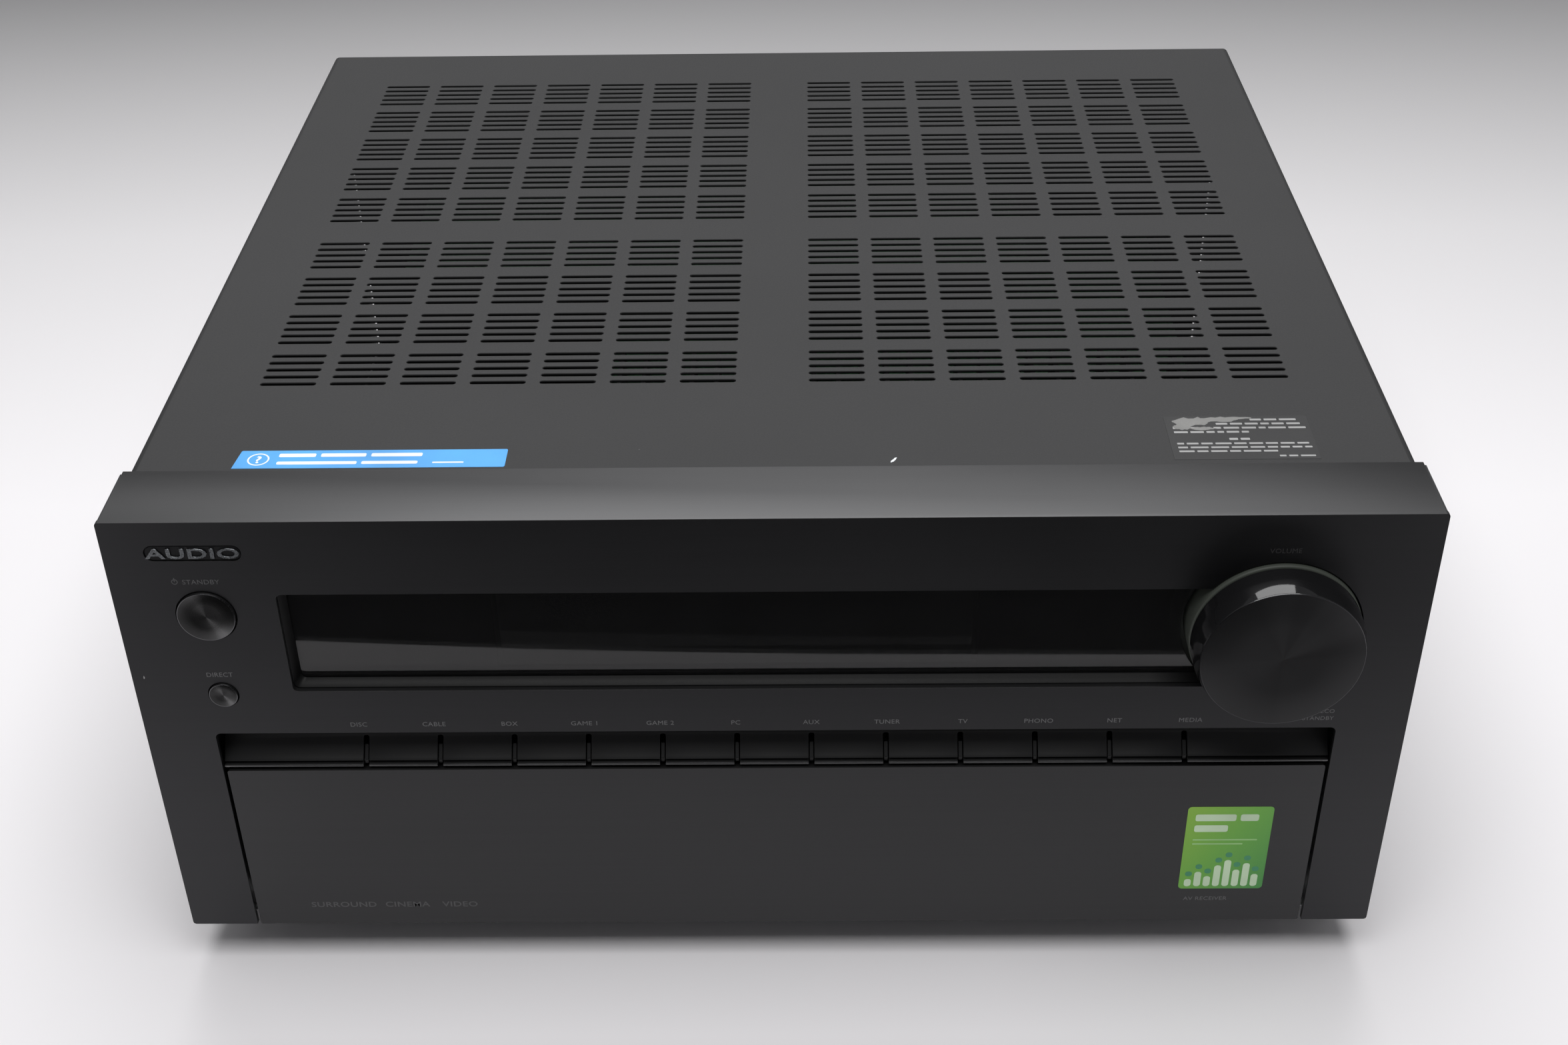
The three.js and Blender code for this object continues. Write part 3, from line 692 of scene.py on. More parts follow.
def loft(name, loops):
    """A closed body through loops of equal length; each loop is a list of points already in place."""
    bm = bmesh.new()
    rings = [[bm.verts.new(p) for p in loop] for loop in loops]
    n = len(rings[0])
    for a, b in zip(rings, rings[1:]):
        for i in range(n):
            j = (i + 1) % n
            bm.faces.new((a[i], a[j], b[j], b[i]))
    bm.faces.new(rings[0])
    bm.faces.new(rings[-1][::-1])
    return mesh_from(bm, name)


def solid_from_profile(name, profile, x0, x1):
    """A closed outline in (y, z) run along X, as a mesh."""
    bm = bmesh.new()
    a = [bm.verts.new(P(x0, y, z)) for y, z in profile]
    b = [bm.verts.new(P(x1, y, z)) for y, z in profile]
    bm.faces.new(a)
    bm.faces.new(b[::-1])
    k = len(profile)
    for i in range(k):
        j = (i + 1) % k
        bm.faces.new((a[j], a[i], b[i], b[j]))
    return mesh_from(bm, name)


def boxes_mesh(name, boxes):
    bm = bmesh.new()
    for x0, x1, y0, y1, z0, z1 in boxes:
        v = [bm.verts.new(P(x, y, z)) for x in (x0, x1) for y in (y0, y1) for z in (z0, z1)]
        for q in ((0, 1, 3, 2), (4, 6, 7, 5), (0, 4, 5, 1), (2, 3, 7, 6), (0, 2, 6, 4), (1, 5, 7, 3)):
            bm.faces.new([v[i] for i in q])
    return mesh_from(bm, name)


def boolean(me, cutter, operation="DIFFERENCE"):
    """The mesh me cut by, or joined to, the mesh cutter."""
    a = bpy.data.objects.new("tmp_a", me)
    b = bpy.data.objects.new("tmp_b", cutter)
    for o in (a, b):
        bpy.context.scene.collection.objects.link(o)
    mod = a.modifiers.new("cut", "BOOLEAN")
    mod.operation, mod.solver, mod.object = operation, "EXACT", b
    bpy.context.view_layer.update()
    dg = bpy.context.evaluated_depsgraph_get()
    out = bpy.data.meshes.new_from_object(a.evaluated_get(dg))
    for o in (a, b):
        bpy.data.objects.remove(o)
    return out


def round_edges(me, width, segments=2, angle=30):
    """Rounds every edge sharper than angle by width mm; flat faces stay flat-shaded."""
    bm = bmesh.new()
    bm.from_mesh(me)
    bmesh.ops.remove_doubles(bm, verts=bm.verts, dist=1e-6)
    bmesh.ops.dissolve_limit(bm, angle_limit=math.radians(0.4), verts=bm.verts, edges=bm.edges, delimit=set())
    bm.normal_update()
    for f in bm.faces:
        f.smooth = any(len(e.link_faces) == 2 and math.radians(0.6) < e.calc_face_angle(0) <= math.radians(angle) for e in f.edges)
    edges = [e for e in bm.edges if len(e.link_faces) == 2 and e.calc_face_angle(0) > math.radians(angle)]
    made = bmesh.ops.bevel(bm, geom=edges, offset=width * MM, offset_type="OFFSET", segments=segments, profile=0.5, affect="EDGES", clamp_overlap=True)
    for f in made["faces"]:
        f.smooth = True
    out = bpy.data.meshes.new(me.name + "_r")
    bm.to_mesh(out)
    bm.free()
    return out


def film(name, outline, y, thickness, mats, body, axis="front", holes=(), z=None):
    """A thin film or printed shape. On the front it is drawn in x, z and stands proud of y; on top it is drawn in x, y and stands proud of z."""
    bm = bmesh.new()
    if axis == "front":
        plate(bm, outline, list(holes), lambda u, v, d: P(u, y - thickness + d, v), thickness, chamfer=min(0.02, thickness * 0.4), steps=1)
    else:
        plate(bm, outline, list(holes), lambda u, v, d: P(u, v, z + thickness - d), thickness, chamfer=min(0.02, thickness * 0.4), steps=1)
    me = mesh_from(bm, name)
    return finish_mesh(name, me, mats, body, (), None)


def text(name, words, x, z, height, y, mat, body, align="CENTER", stretch=1.25, thickness=0.02, weight=0.0, axis="front", plane_z=None, spacing=1.05):
    """Flat lettering, height mm tall, standing thickness mm proud."""
    cu = bpy.data.curves.new(name, "FONT")
    cu.body = words
    cu.size = 1.0
    cu.align_x = align
    cu.space_character = spacing
    cu.extrude = 0.5
    cu.offset = weight
    cu.resolution_u = 3
    ob = bpy.data.objects.new("tmp_text", cu)
    bpy.context.scene.collection.objects.link(ob)
    bpy.context.view_layer.update()
    me = bpy.data.meshes.new_from_object(ob.evaluated_get(bpy.context.evaluated_depsgraph_get()))
    bpy.data.objects.remove(ob)
    me.name = name
    cap = 0.72  # cap height of the built-in face at size 1
    k = height / cap
    for v in me.vertices:
        u, w, d = v.co.x * k * stretch, v.co.y * k, (0.5 - v.co.z) * thickness
        if axis == "front":
            v.co = P(x + u, y - thickness + d, z + w)
        elif axis == "back":
            v.co = P(x - u, y + thickness - d, z + w)
        else:
            v.co = P(x + u, z + w, plane_z + thickness - d)
    bm = bmesh.new()
    bm.from_mesh(me)
    bmesh.ops.remove_doubles(bm, verts=bm.verts, dist=1e-7)
    bmesh.ops.recalc_face_normals(bm, faces=bm.faces)
    bm.to_mesh(me)
    bm.free()
    me.materials.clear()
    return finish_mesh(name, me, [mat], body, (), None)


# ================================================================== the receiver
# ------------------------------------------------------------------ top cover with its louvre slots
def make_cover():
    lo, hi = node_mm("top_cover")
    half, top, y0, y1, zb = hi.x, hi.z, lo.y, hi.y, lo.z
    t, R, e, seg = 1.0, 2.6, 0.22, 8
    prof = []  # outer outline with its outward normals
    prof.append(((-half, zb), (-1, 0)))
    for i in range(seg + 1):
        a = math.pi - (math.pi / 2) * i / seg
        prof.append(((-half + R + R * math.cos(a), top - R + R * math.sin(a)), (math.cos(a), math.sin(a))))
    for i in range(seg + 1):
        a = math.pi / 2 - (math.pi / 2) * i / seg
        prof.append(((half - R + R * math.cos(a), top - R + R * math.sin(a)), (math.cos(a), math.sin(a))))
    prof.append(((half, zb), (1, 0)))
    flat = seg + 1  # segment index that is the flat top
    bm = bmesh.new()

    def ring(y, inset):
        return [bm.verts.new(P(p[0] - n[0] * inset, y, p[1] - n[1] * inset)) for p, n in prof]

    A, B, C, D = ring(y0, e), ring(y0 + e, 0), ring(y1 - e, 0), ring(y1, e)
    E, F = ring(y1, t), ring(y0, t)
    order = [A, B, C, D, E, F]
    for k in range(6):
        a, b = order[k], order[(k + 1) % 6]
        for i in range(len(prof) - 1):
            if i == flat and k in (1, 4):
                continue
            f = bm.faces.new((a[i], a[i + 1], b[i + 1], b[i]))
            f.smooth = k in (1, 4) and 1 <= i < len(prof) - 2
    bm.faces.new([r[0] for r in order])
    bm.faces.new([r[-1] for r in order][::-1])
    # slots
    slots = []
    w = 1.05
    for g in (-183, 13):
        for c in range(7):
            x0 = g + 25 * c
            for row in range(9):
                ys = 358.5 - 30 * row if row < 5 else 197.7 - 30 * (row - 5)
                for k in range(5):
                    yc = ys - 5 * k
                    loop = []
                    for cx, a0 in ((x0 + 20 - w, -90), (x0 + w, 90)):
                        for i in range(7):
                            a = math.radians(a0 + 30 * i)
                            loop.append((cx + w * math.cos(a), yc + w * math.sin(a)))
                    slots.append(loop)
    xl, xr = prof[flat][0][0], prof[flat + 1][0][0]
    rings = []
    for loop in slots:
        cw = loop[::-1]
        out = offset_loop(cw, 0.24)
        mid = offset_loop(cw, 0.07)
        rings.append((
            cw, out,
            [bm.verts.new(P(u, v, top)) for u, v in out],
            [bm.verts.new(P(u, v, top - 0.07)) for u, v in mid],
            [bm.verts.new(P(u, v, top - 0.24)) for u, v in cw],
            [bm.verts.new(P(u, v, top - t)) for u, v in cw],
        ))
        r = rings[-1][2:]
        for a, b in zip(r, r[1:]):
            for i in range(len(cw)):
                j = (i + 1) % len(cw)
                f = bm.faces.new((a[i], b[i], b[j], a[j]))
                f.smooth = True
                f.material_index = 0 if a is not r[2] else 1

    def skin(y_lo, y_hi, corner, level, use_out, flip):
        pts = [Vector((xl, y_lo)), Vector((xr, y_lo)), Vector((xr, y_hi)), Vector((xl, y_hi))]
        owners = list(corner)
        edges = [(0, 1), (1, 2), (2, 3), (3, 0)]
        for rg in rings:
            loop2d = rg[1] if use_out else rg[0]
            base = len(pts)
            pts += [Vector(p) for p in loop2d]
            owners += rg[level]
            k = len(loop2d)
            edges += [(base + i, base + (i + 1) % k) for i in range(k)]
        vs, _, faces, ov, _, _ = delaunay_2d_cdt(pts, edges, [], 2, 1e-6)
        slot_of = {}
        for i, o in enumerate(ov):
            for k in o:
                if k >= 4:
                    slot_of[i] = (k - 4) // 14
        for f in faces:
            ids = [slot_of.get(i, -1) for i in f]
            if ids[0] >= 0 and all(i == ids[0] for i in ids):
                # three corners of one slot: inside it, or beside its flat side
                loop2d = rings[ids[0]][1] if use_out else rings[ids[0]][0]
                cx = sum(vs[i].x for i in f) / len(f)
                cy = sum(vs[i].y for i in f) / len(f)
                if point_in((cx, cy), loop2d):
                    continue
            verts = [owners[ov[i][0]] for i in f]
            if flip:
                verts.reverse()
            if len(set(verts)) < 3:
                continue
            try:
                bm.faces.new(verts).smooth = False
            except ValueError:
                pass

    skin(y0 + e, y1 - e, (B[flat], B[flat + 1], C[flat + 1], C[flat]), 2, True, False)
    skin(y0, y1, (F[flat], F[flat + 1], E[flat + 1], E[flat]), 5, False, True)
    me = mesh_from(bm, "top_cover_slotted")
    finish_mesh("top_cover_slotted", me, ["cover", "cover_edge"], "chassis", ("top_cover",), None)


make_cover()

# ------------------------------------------------------------------ fascia and flap
klo, khi = node_mm("volume_knob")
KX, KZ, KR, KBR = (klo.x + khi.x) / 2, (klo.z + khi.z) / 2, 27.0, (khi.x - klo.x) / 2
KF, KB = klo.y, khi.y


def fascia_pick(x, y, z, n):
    """The top face takes a lighter copy of the same brushed metal, a painted highlight for the sheen it catches; the
    cut edges round the openings are black, painted shade for the dark gap there; the rest is brushed metal.
    """
    if n.z > 0.7 and z > 197.6:
        return 2
    # cut edges round the openings: black, painted shade for the dark gap seen there
    return 1 if 0.0 < y < 2.15 and abs(n.y) < 0.6 and abs(x) < 216 and 18 < z < 197.5 else 0


refine("front_panel", 0.3, ["fascia", "black", "fascia_top_painted_highlight"], 3, brush=True, name="fascia_shell", pick=fascia_pick)
refine("front_flap", 0.35, ["flap"], 3, brush=True, name="front_flap_door")

# ------------------------------------------------------------------ display window
WX0, WZ0, WZ1 = -163.4, 128.2, 169.3


def make_bezel():
    lo, hi = node_mm("display_bezel")
    k = 2.1 / (hi.y - lo.y)

    def window(d):
        return rounded(WX0 + d, KX, WZ0 + d, WZ1 - 0.4 * d, 2.0, 7)

    frame_outline = rounded(lo.x, hi.x, lo.z, hi.z, 2.0, 7)
    body = loft("bezel_body", [[P(x, lo.y, z) for x, z in frame_outline], [P(x, hi.y, z) for x, z in frame_outline]])
    opening = loft("bezel_opening", [[P(x, lo.y - 0.4, z) for x, z in window(-0.4 * k)], [P(x, hi.y + 0.4, z) for x, z in window(2.1 + 0.4 * k)]])
    bm = bmesh.new()
    turn_into(bm, lambda u, v, h: P(KX + u, h, KZ + v), [(0, 1), (29.2, 1), (29.2, 8), (0, 8)], 128)
    ring = mesh_from(bm, "bezel_ring")
    me = round_edges(boolean(boolean(body, opening), ring), 0.14, 2, 34)
    me.name = "display_bezel_frame"
    finish_mesh("display_bezel_frame", me, ["bezel"], "chassis", ("display_bezel",), None)


make_bezel()
refine("display_lens", 0.12, ["window"], 2, name="display_window")


def make_display():
    """Display tube: glass envelope, and a black block behind it for the tube's end seal."""
    lo, hi = node_mm("vfd_display")
    bm = bmesh.new()
    box_into(bm, lo.x, hi.x, lo.y, 19.0, 130, 167, 0, 0.12)
    box_into(bm, lo.x + 7, hi.x - 7, 19.2, hi.y, 134, 163, 1, 0.4)
    me = mesh_from(bm, "display_tube")
    finish_mesh("display_tube", me, ["display", "black"], "chassis", ("vfd_display",), None)


make_display()

# ------------------------------------------------------------------ selector strip and keys
def spline(points, per=5):
    out = []
    for i in range(len(points) - 1):
        p0 = Vector(points[max(0, i - 1)])
        p1 = Vector(points[i])
        p2 = Vector(points[i + 1])
        p3 = Vector(points[min(len(points) - 1, i + 2)])
        for s in range(per):
            t = s / per
            out.append(tuple(0.5 * ((2 * p1) + (p2 - p0) * t + (2 * p0 - 5 * p1 + 4 * p2 - p3) * t * t + (3 * p1 - p0 - 3 * p2 + p3) * t ** 3)))
    out.append(tuple(points[-1]))
    return out


KEYS = [node_mm("input_key_%d" % (i + 1)) for i in range(12)]
KEY_X = [(a.x + b.x) / 2 for a, b in KEYS]


def make_strip():
    lo, hi = node_mm("selector_strip")
    z0, z1 = lo.z, hi.z
    scoop = spline([(10.5, z1), (9.3, z1 - 2.7), (7.7, z1 - 5.9), (5.4, z1 - 9.2), (3.3, z1 - 11.8), (1.6, z0 + 2.2)], 4)
    section = scoop + [(3.4, z0 + 2.0), (3.4, z0 + 1.15), (1.25, z0 + 1.08), (0.85, z0 + 0.98), (0.72, z0 + 0.7), (0.72, z0 + 0.35), (0.85, z0 + 0.1), (1.15, z0), (14, z0), (14, z1)]
    me = solid_from_profile("strip", section, lo.x, hi.x)
    bm = bmesh.new()
    for x in KEY_X:
        h = 1.02
        zt = z0 + 9.1
        loop = [(x - h, z0 - 1), (x + h, z0 - 1)]
        for i in range(5):
            a = math.radians(90 * i / 4)
            loop.append((x + h - 0.7 + 0.7 * math.cos(a), zt - 0.7 + 0.7 * math.sin(a)))
        for i in range(5):
            a = math.radians(90 + 90 * i / 4)
            loop.append((x - h + 0.7 + 0.7 * math.cos(a), zt - 0.7 + 0.7 * math.sin(a)))
        f = [bm.verts.new(P(u, -1, v)) for u, v in loop]
        b = [bm.verts.new(P(u, 15, v)) for u, v in loop]
        bm.faces.new(f)
        bm.faces.new(b[::-1])
        for i in range(len(loop)):
            j = (i + 1) % len(loop)
            bm.faces.new((f[j], f[i], b[i], b[j]))
    cut = mesh_from(bm, "strip_gaps")
    me = round_edges(boolean(me, cut), 0.22, 2, 38)
    me.name = "selector_strip_scoop"
    # the lower front lip faces take the lighter lip colour, a painted highlight on the polished lip
    for poly in me.polygons:
        q = mm_of(poly.center)
        if q.z < z0 + 1.25 and q.y < 1.6:
            poly.material_index = 1
    finish_mesh("selector_strip_scoop", me, ["strip", "lip"], "chassis", ("selector_strip",), None)


make_strip()
for i in range(12):
    refine("input_key_%d" % (i + 1), 0.22, ["key"], 2, name="input_key_cap_%d" % (i + 1))


# ------------------------------------------------------------------ knob, collar, buttons
def arc(cr, cy, r, a0, a1, n, mat):
    """Points (radius, y) on an arc round cr, cy from angle a0 to a1, in degrees; angle 0 points outwards and 90 to +Y."""
    return [(cr + r * math.cos(math.radians(a0 + (a1 - a0) * i / n)), cy + r * math.sin(math.radians(a0 + (a1 - a0) * i / n)), mat) for i in range(n + 1)]


knob = [(0, KF, 0), (KR * 0.5, KF, 0), (KR - 0.26, KF, 0), (KR - 0.09, KF + 0.06, 1), (KR, KF + 0.20, 1)]
for i in range(1, 33):
    d = (KB - 0.6 - KF - 0.20) * i / 32
    knob.append((KR + (KBR - KR) * (1 - max(0.0, 1 - d / 6.2) ** 1.25), KF + 0.20 + d, 2))
knob += arc(KBR - 0.6, KB - 0.6, 0.6, 0, 90, 5, 2)[1:]
knob += [(24.2, KB, 2), (24.2, KF + 3.2, 2), (7, KF + 3.2, 2), (7, KB - 1.5, 2), (3.4, KB - 1.5, 2), (3.4, KF + 3.2, 2), (0, KF + 3.2, 2)]
turned("volume_knob_body", KX, KZ, knob, ["knob_face", "knob_rim", "knob_side"], "volume_knob", 180, ("volume_knob",), spin=True)

clo, chi = node_mm("volume_collar")
CR = 28.65
collar = [(5.4, clo.y + 0.3, 0), (5.6, clo.y, 0), (CR - 0.9, clo.y, 0)] + arc(CR - 0.9, clo.y + 0.9, 0.9, -90, 0, 6, 0)
collar += [(CR, 10.6, 0), (CR, 10.9, 0), (33, 10.9, 0), (33, 13, 0), (5.4, 13, 0)]
turned("volume_collar_ring", KX, KZ, collar, ["collar"], "chassis", 180, ("volume_collar",))


def push_button(node, face_r, stem_r, n):
    lo, hi = node_mm(node)
    cx, cz = (lo.x + hi.x) / 2, (lo.z + hi.z) / 2
    f = lo.y
    prof = [(0, f + 0.22, 0), (face_r * 0.5, f + 0.16, 0), (face_r - 0.3, f, 0), (face_r - 0.08, f + 0.08, 1), (face_r, f + 0.3, 1)]
    prof += [(face_r, 2.7, 2), (face_r + 1.6, 2.7, 2), (face_r + 1.6, 4.2, 2), (face_r - 1, 4.2, 2), (face_r - 1, 6.5, 2), (stem_r, 6.5, 2), (stem_r, hi.y, 2), (0, hi.y, 2)]
    turned(node + "_cap", cx, cz, prof, ["button_face", "button_rim", "black"], node, n, (node,), spin=True)
    return cx, cz


PX, PZ = push_button("power_button", 9.7, 3.0, 128)
AX, AZ = push_button("pure_audio_button", 4.9, 2.4, 96)

# ------------------------------------------------------------------ badge and printed labels on the fascia
refine("badge_plate", 0.08, ["badge_base"], 2, name="badge_backing")
blo, bhi = node_mm("badge_plate")
BX, BZ = (blo.x + bhi.x) / 2, (blo.z + bhi.z) / 2
text("badge_letters", "AUDIO", BX, BZ - 1.95, 3.9, 0.26, "silver", "chassis", stretch=1.72, thickness=0.4, weight=0.022, spacing=1.06)

text("label_standby", "STANDBY", -187.0, 173.9, 1.9, 0.0, "ink_dim", "chassis", stretch=1.02)
text("label_direct", "DIRECT", -187.5, 134.9, 1.9, 0.0, "ink", "chassis", stretch=0.98)
text("label_volume", "VOLUME", 166.9, 183.5, 1.9, 0.0, "ink_faint", "chassis", stretch=0.98)
text("label_eco", "ECO", 192.0, 116.2, 1.7, 0.0, "ink", "chassis", align="RIGHT", stretch=1.0)
text("label_eco_standby", "STANDBY", 192.0, 113.1, 1.7, 0.0, "ink", "chassis", align="RIGHT", stretch=1.0)
film("led_dot", circle(181.2, 117.8, 0.32, 20), 0.0, 0.02, ["ink_white"], "chassis")
film("power_symbol_ring", circle(-195.6, 174.9, 1.05, 28), 0.0, 0.02, ["ink_dim"], "chassis", holes=[circle(-195.6, 174.9, 0.78, 28)])
film("power_symbol_bar", rounded(-195.75, -195.45, 174.9, 176.5, 0.1, 3), 0.0, 0.021, ["ink_dim"], "chassis")
for x, words in zip(KEY_X, ("DISC", "CABLE", "BOX", "GAME 1", "GAME 2", "PC", "AUX", "TUNER", "TV", "PHONO", "NET", "MEDIA")):
    text("label_" + words.lower().replace(" ", "_"), words, x, 112.55, 1.9, 0.0, "ink", "chassis", stretch=1.02)

# ------------------------------------------------------------------ labels and stickers that ride on the flap
text("flap_text_receiver", "AV RECEIVER", 156.9, 27.2, 1.8, 0.0, "ink", "front_flap", stretch=1.05)
for words, x in (("SURROUND", -160.0), ("CINEMA", -136.5), ("VIDEO", -117.0)):
    text("flap_text_" + words.lower().replace(" ", "_"), words, x, 25.6, 2.6, 0.0, "ink_ghost", "front_flap", stretch=1.2, weight=0.012)

SX0, SX1, SZ0, SZ1 = 146.5, 177.0, 33.1, 73.2
film("green_label", rounded(SX0, SX1, SZ0, SZ1, 1.5, 6), 0.0, 0.08, ["label_green"], "front_flap")


def label_shapes(name, shapes, y, mat, body, thickness=0.03):
    bm = bmesh.new()
    for loop in shapes:
        plate(bm, loop, [], lambda u, v, d: P(u, y - thickness + d, v), thickness, chamfer=0.01, steps=1)
    finish_mesh(name, mesh_from(bm, name), [mat], body, (), None)


label_shapes("green_label_title", [rounded(SX0 + 3, SX0 + 17.5, SZ1 - 6.8, SZ1 - 3.6, 0.8), rounded(SX0 + 19, SX0 + 25.5, SZ1 - 6.8, SZ1 - 3.6, 0.8), rounded(SX0 + 3, SX0 + 15, SZ1 - 12.0, SZ1 - 8.8, 0.8)], -0.08, "label_pale", "front_flap")
label_shapes("green_label_lines", [rounded(SX0 + 3, SX0 + 26, SZ1 - 16.2, SZ1 - 15.5, 0.2, 2), rounded(SX0 + 3, SX0 + 21, SZ1 - 18.2, SZ1 - 17.5, 0.2, 2)], -0.08, "label_mint", "front_flap")
bars = []
for i, h in enumerate((3.6, 7.2, 5.0, 10.4, 13.0, 8.2, 11.4, 6.0)):
    bars.append(rounded(SX0 + 1.9 + 3.42 * i, SX0 + 4.4 + 3.42 * i, SZ0 + 1.2, SZ0 + 1.2 + h, 1.1, 4))
label_shapes("green_label_bars", bars, -0.08, "label_pale", "front_flap")
label_shapes("green_label_bar_shade", [rounded(SX0 + 1.9 + 3.42 * i, SX0 + 4.4 + 3.42 * i, SZ0 + 2.6 + h, SZ0 + 5.0 + h, 1.1, 4) for i, h in enumerate((3.6, 7.2, 5.0, 10.4, 13.0, 8.2, 11.4, 6.0))], -0.08, "label_teal", "front_flap")

# ------------------------------------------------------------------ stickers and marks on the cover
TOP = node_mm("top_cover")[1].z
PTOP = node_mm("front_panel")[1].z


def top_shapes(name, shapes, mat, z, thickness, body="chassis"):
    bm = bmesh.new()
    for loop in shapes:
        plate(bm, loop, [], lambda u, v, d: P(u, v, z + thickness - d), thickness, chamfer=min(0.02, thickness * 0.4), steps=1)
    finish_mesh(name, mesh_from(bm, name), [mat], body, (), None)


top_shapes("blue_label", [[(-180.6, 32.3), (-89.4, 32.3), (-88.9, 32.8), (-88.9, 42.8), (-89.3, 43.3), (-178.9, 43.3), (-179.3, 42.9)]], "label_blue", TOP, 0.08)
film("blue_label_ring", circle(-172.6, 37.8, 3.7, 48), 0, 0.03, ["label_white"], "chassis", axis="top", holes=[circle(-172.6, 37.8, 3.15, 48)], z=TOP + 0.08)
text("blue_label_mark", "?", -172.6, 35.7, 4.2, 0, "label_white", "chassis", stretch=1.1, thickness=0.03, axis="top", plane_z=TOP + 0.08, weight=0.02)
top_shapes("blue_label_lines", [rounded(a, b, 39.2, 41.3, 0.5, 3) for a, b in ((-166, -153.5), (-151.8, -136.5), (-134.8, -117.5))]
           + [rounded(a, b, 34.6, 36.4, 0.5, 3) for a, b in ((-166, -139), (-137.4, -118.5))] + [rounded(-113.5, -103, 34.9, 35.7, 0.2, 2)], "label_white", TOP + 0.08, 0.03)

top_shapes("dark_label", [[(134.7, 33.6), (183.1, 33.6), (183.5, 34.0), (183.5, 60.6), (183.1, 61.0), (135.1, 61.0), (134.7, 60.6)]], "label_black", TOP, 0.07)
rnd = random.Random(11)
words = []
for y, a, b, h in ((58.0, 164, 181, 1.1), (55.4, 152, 182, 1.1), (52.8, 137, 182.4, 1.1), (50.2, 137, 163, 1.1), (45.6, 155, 163.5, 1.3), (43.0, 137, 182.4, 1.0), (40.6, 137, 182.4, 1.0), (38.2, 137, 170, 1.0), (35.2, 170, 182, 0.9)):
    x = a
    while x < b - 1:
        w = min(rnd.uniform(2.2, 6.0), b - x)
        words.append(rounded(x, x + w, y, y + h, 0.2, 2))
        x += w + 0.9
top_shapes("dark_label_lines", words, "label_grey", TOP + 0.07, 0.02)
scuff = []
for cx, cy, r, q in ((144, 57.4, 6.5, 0.42), (153.5, 58.6, 6.5, 0.24), (140.4, 54.2, 3.0, 0.6), (160, 59.6, 4.5, 0.16), (147, 52.9, 4.4, 0.22)):
    scuff.append([(max(135.2, cx + r * (0.85 + 0.3 * rnd.random()) * math.cos(t)), min(60.7, cy + r * q * (0.7 + 0.6 * rnd.random()) * math.sin(t))) for t in [2 * math.pi * k / 22 for k in range(22)]])
for k, loop in enumerate(scuff):
    top_shapes("dark_label_scuff_%d" % (k + 1), [loop], "label_scuff", TOP + 0.09 + 0.006 * k, 0.02)
top_shapes("cover_chip", [[(40.1, 33.2), (41.2, 33.9), (42.0, 35.3), (42.3, 36.4), (41.6, 36.1), (40.8, 34.9), (40.2, 34.2)]], "label_white", TOP, 0.05)
label_shapes("fascia_chip", [[(-213.6, 134.3), (-213.25, 134.2), (-213.1, 134.8), (-213.3, 135.6), (-213.5, 135.1)]], 0.0, "label_grey", "chassis", 0.03)

# ------------------------------------------------------------------ behind the flap
refine("jack_panel", 0.3, ["black"], 2, name="jack_panel_face")
refine("front_subframe", 0.3, ["black"], 2, name="front_subframe_moulding")
refine("flap_catch", 0.6, ["socket"], 3, name="flap_catch_pad")
refine("flap_hinge_pin_left", 0.2, ["steel"], 2, name="flap_hinge_pin_l")
refine("flap_hinge_pin_right", 0.2, ["steel"], 2, name="flap_hinge_pin_r")


def make_front_jacks():
    bm = bmesh.new()
    turn_into(bm, lambda u, v, h: P(-160 + u, h, 50 + v), [(3.3, 12.9, 0), (3.6, 12.5, 0), (4.4, 12.5, 0), (4.6, 12.8, 0), (5.6, 12.8, 0), (6.0, 13.2, 0), (6.0, 17, 0), (3.3, 17, 1)], 64)
    box_into(bm, -168, -152, 17.3, 38, 42, 58, 1, 0.5)
    me = mesh_from(bm, "phones_jack_assembly")
    smooth_by(me)
    finish_mesh(me.name, me, ["nickel", "socket"], "chassis", ("phones_jack",), None)

    bm = bmesh.new()
    box_into(bm, 80, 140, 13, 28, 41, 59, 0, 0.5)
    for x, m in ((90, 2), (110, 3), (130, 4)):
        turn_into(bm, lambda u, v, h, x=x: P(x + u, h, 50 + v), [(1.7, 7.4, m), (1.75, 7.2, m), (3.3, 7.2, m), (3.3, 6.9, 1), (3.5, 6.6, 1), (4.0, 6.6, 1), (4.2, 6.8, 1), (4.2, 13, 1), (1.7, 13, 1)], 48)
        turn_into(bm, lambda u, v, h, x=x: P(x + u, h, 50 + v), [(0, 12.75, 0), (5.6, 12.75, 0), (5.9, 12.95, 0), (5.9, 13.0, 0), (0, 13.0, 0)], 48)
    me = mesh_from(bm, "front_av_jack_set")
    smooth_by(me)
    finish_mesh(me.name, me, ["socket", "nickel", "yellow", "white", "red"], "chassis", ("front_av_jacks",), None)
    refine("front_hdmi_socket", 0.2, ["nickel"], 2, name="front_digital_shell")
    bm = bmesh.new()
    box_into(bm, -5.6, 5.6, 15.5, 23.5, 50.6, 51.9, 0, 0.15)
    finish_mesh("front_digital_tongue", mesh_from(bm, "front_digital_tongue"), ["socket"], "chassis", (), None)


make_front_jacks()
for words, x, z in (("PHONES", -160, 60.2), ("DIGITAL IN", 0, 59.4), ("VIDEO", 90, 61.2), ("L", 110, 61.2), ("R", 130, 61.2)):
    text("jack_text_" + words.lower().replace(" ", "_"), words, x, z, 2.0, 14.0, "ink", "chassis", stretch=1.25)

# ------------------------------------------------------------------ casing, feet, rear
for n in ("left_front", "left_rear", "right_front", "right_rear"):
    refine("cover_screw_" + n, 0.18, ["screw"], 2, name="cover_screw_head_" + n)
refine("bottom_chassis", 0.2, ["steel"], 1, name="bottom_tray")
refine("rear_panel", 0.2, ["rear"], 2, name="rear_panel_sheet")


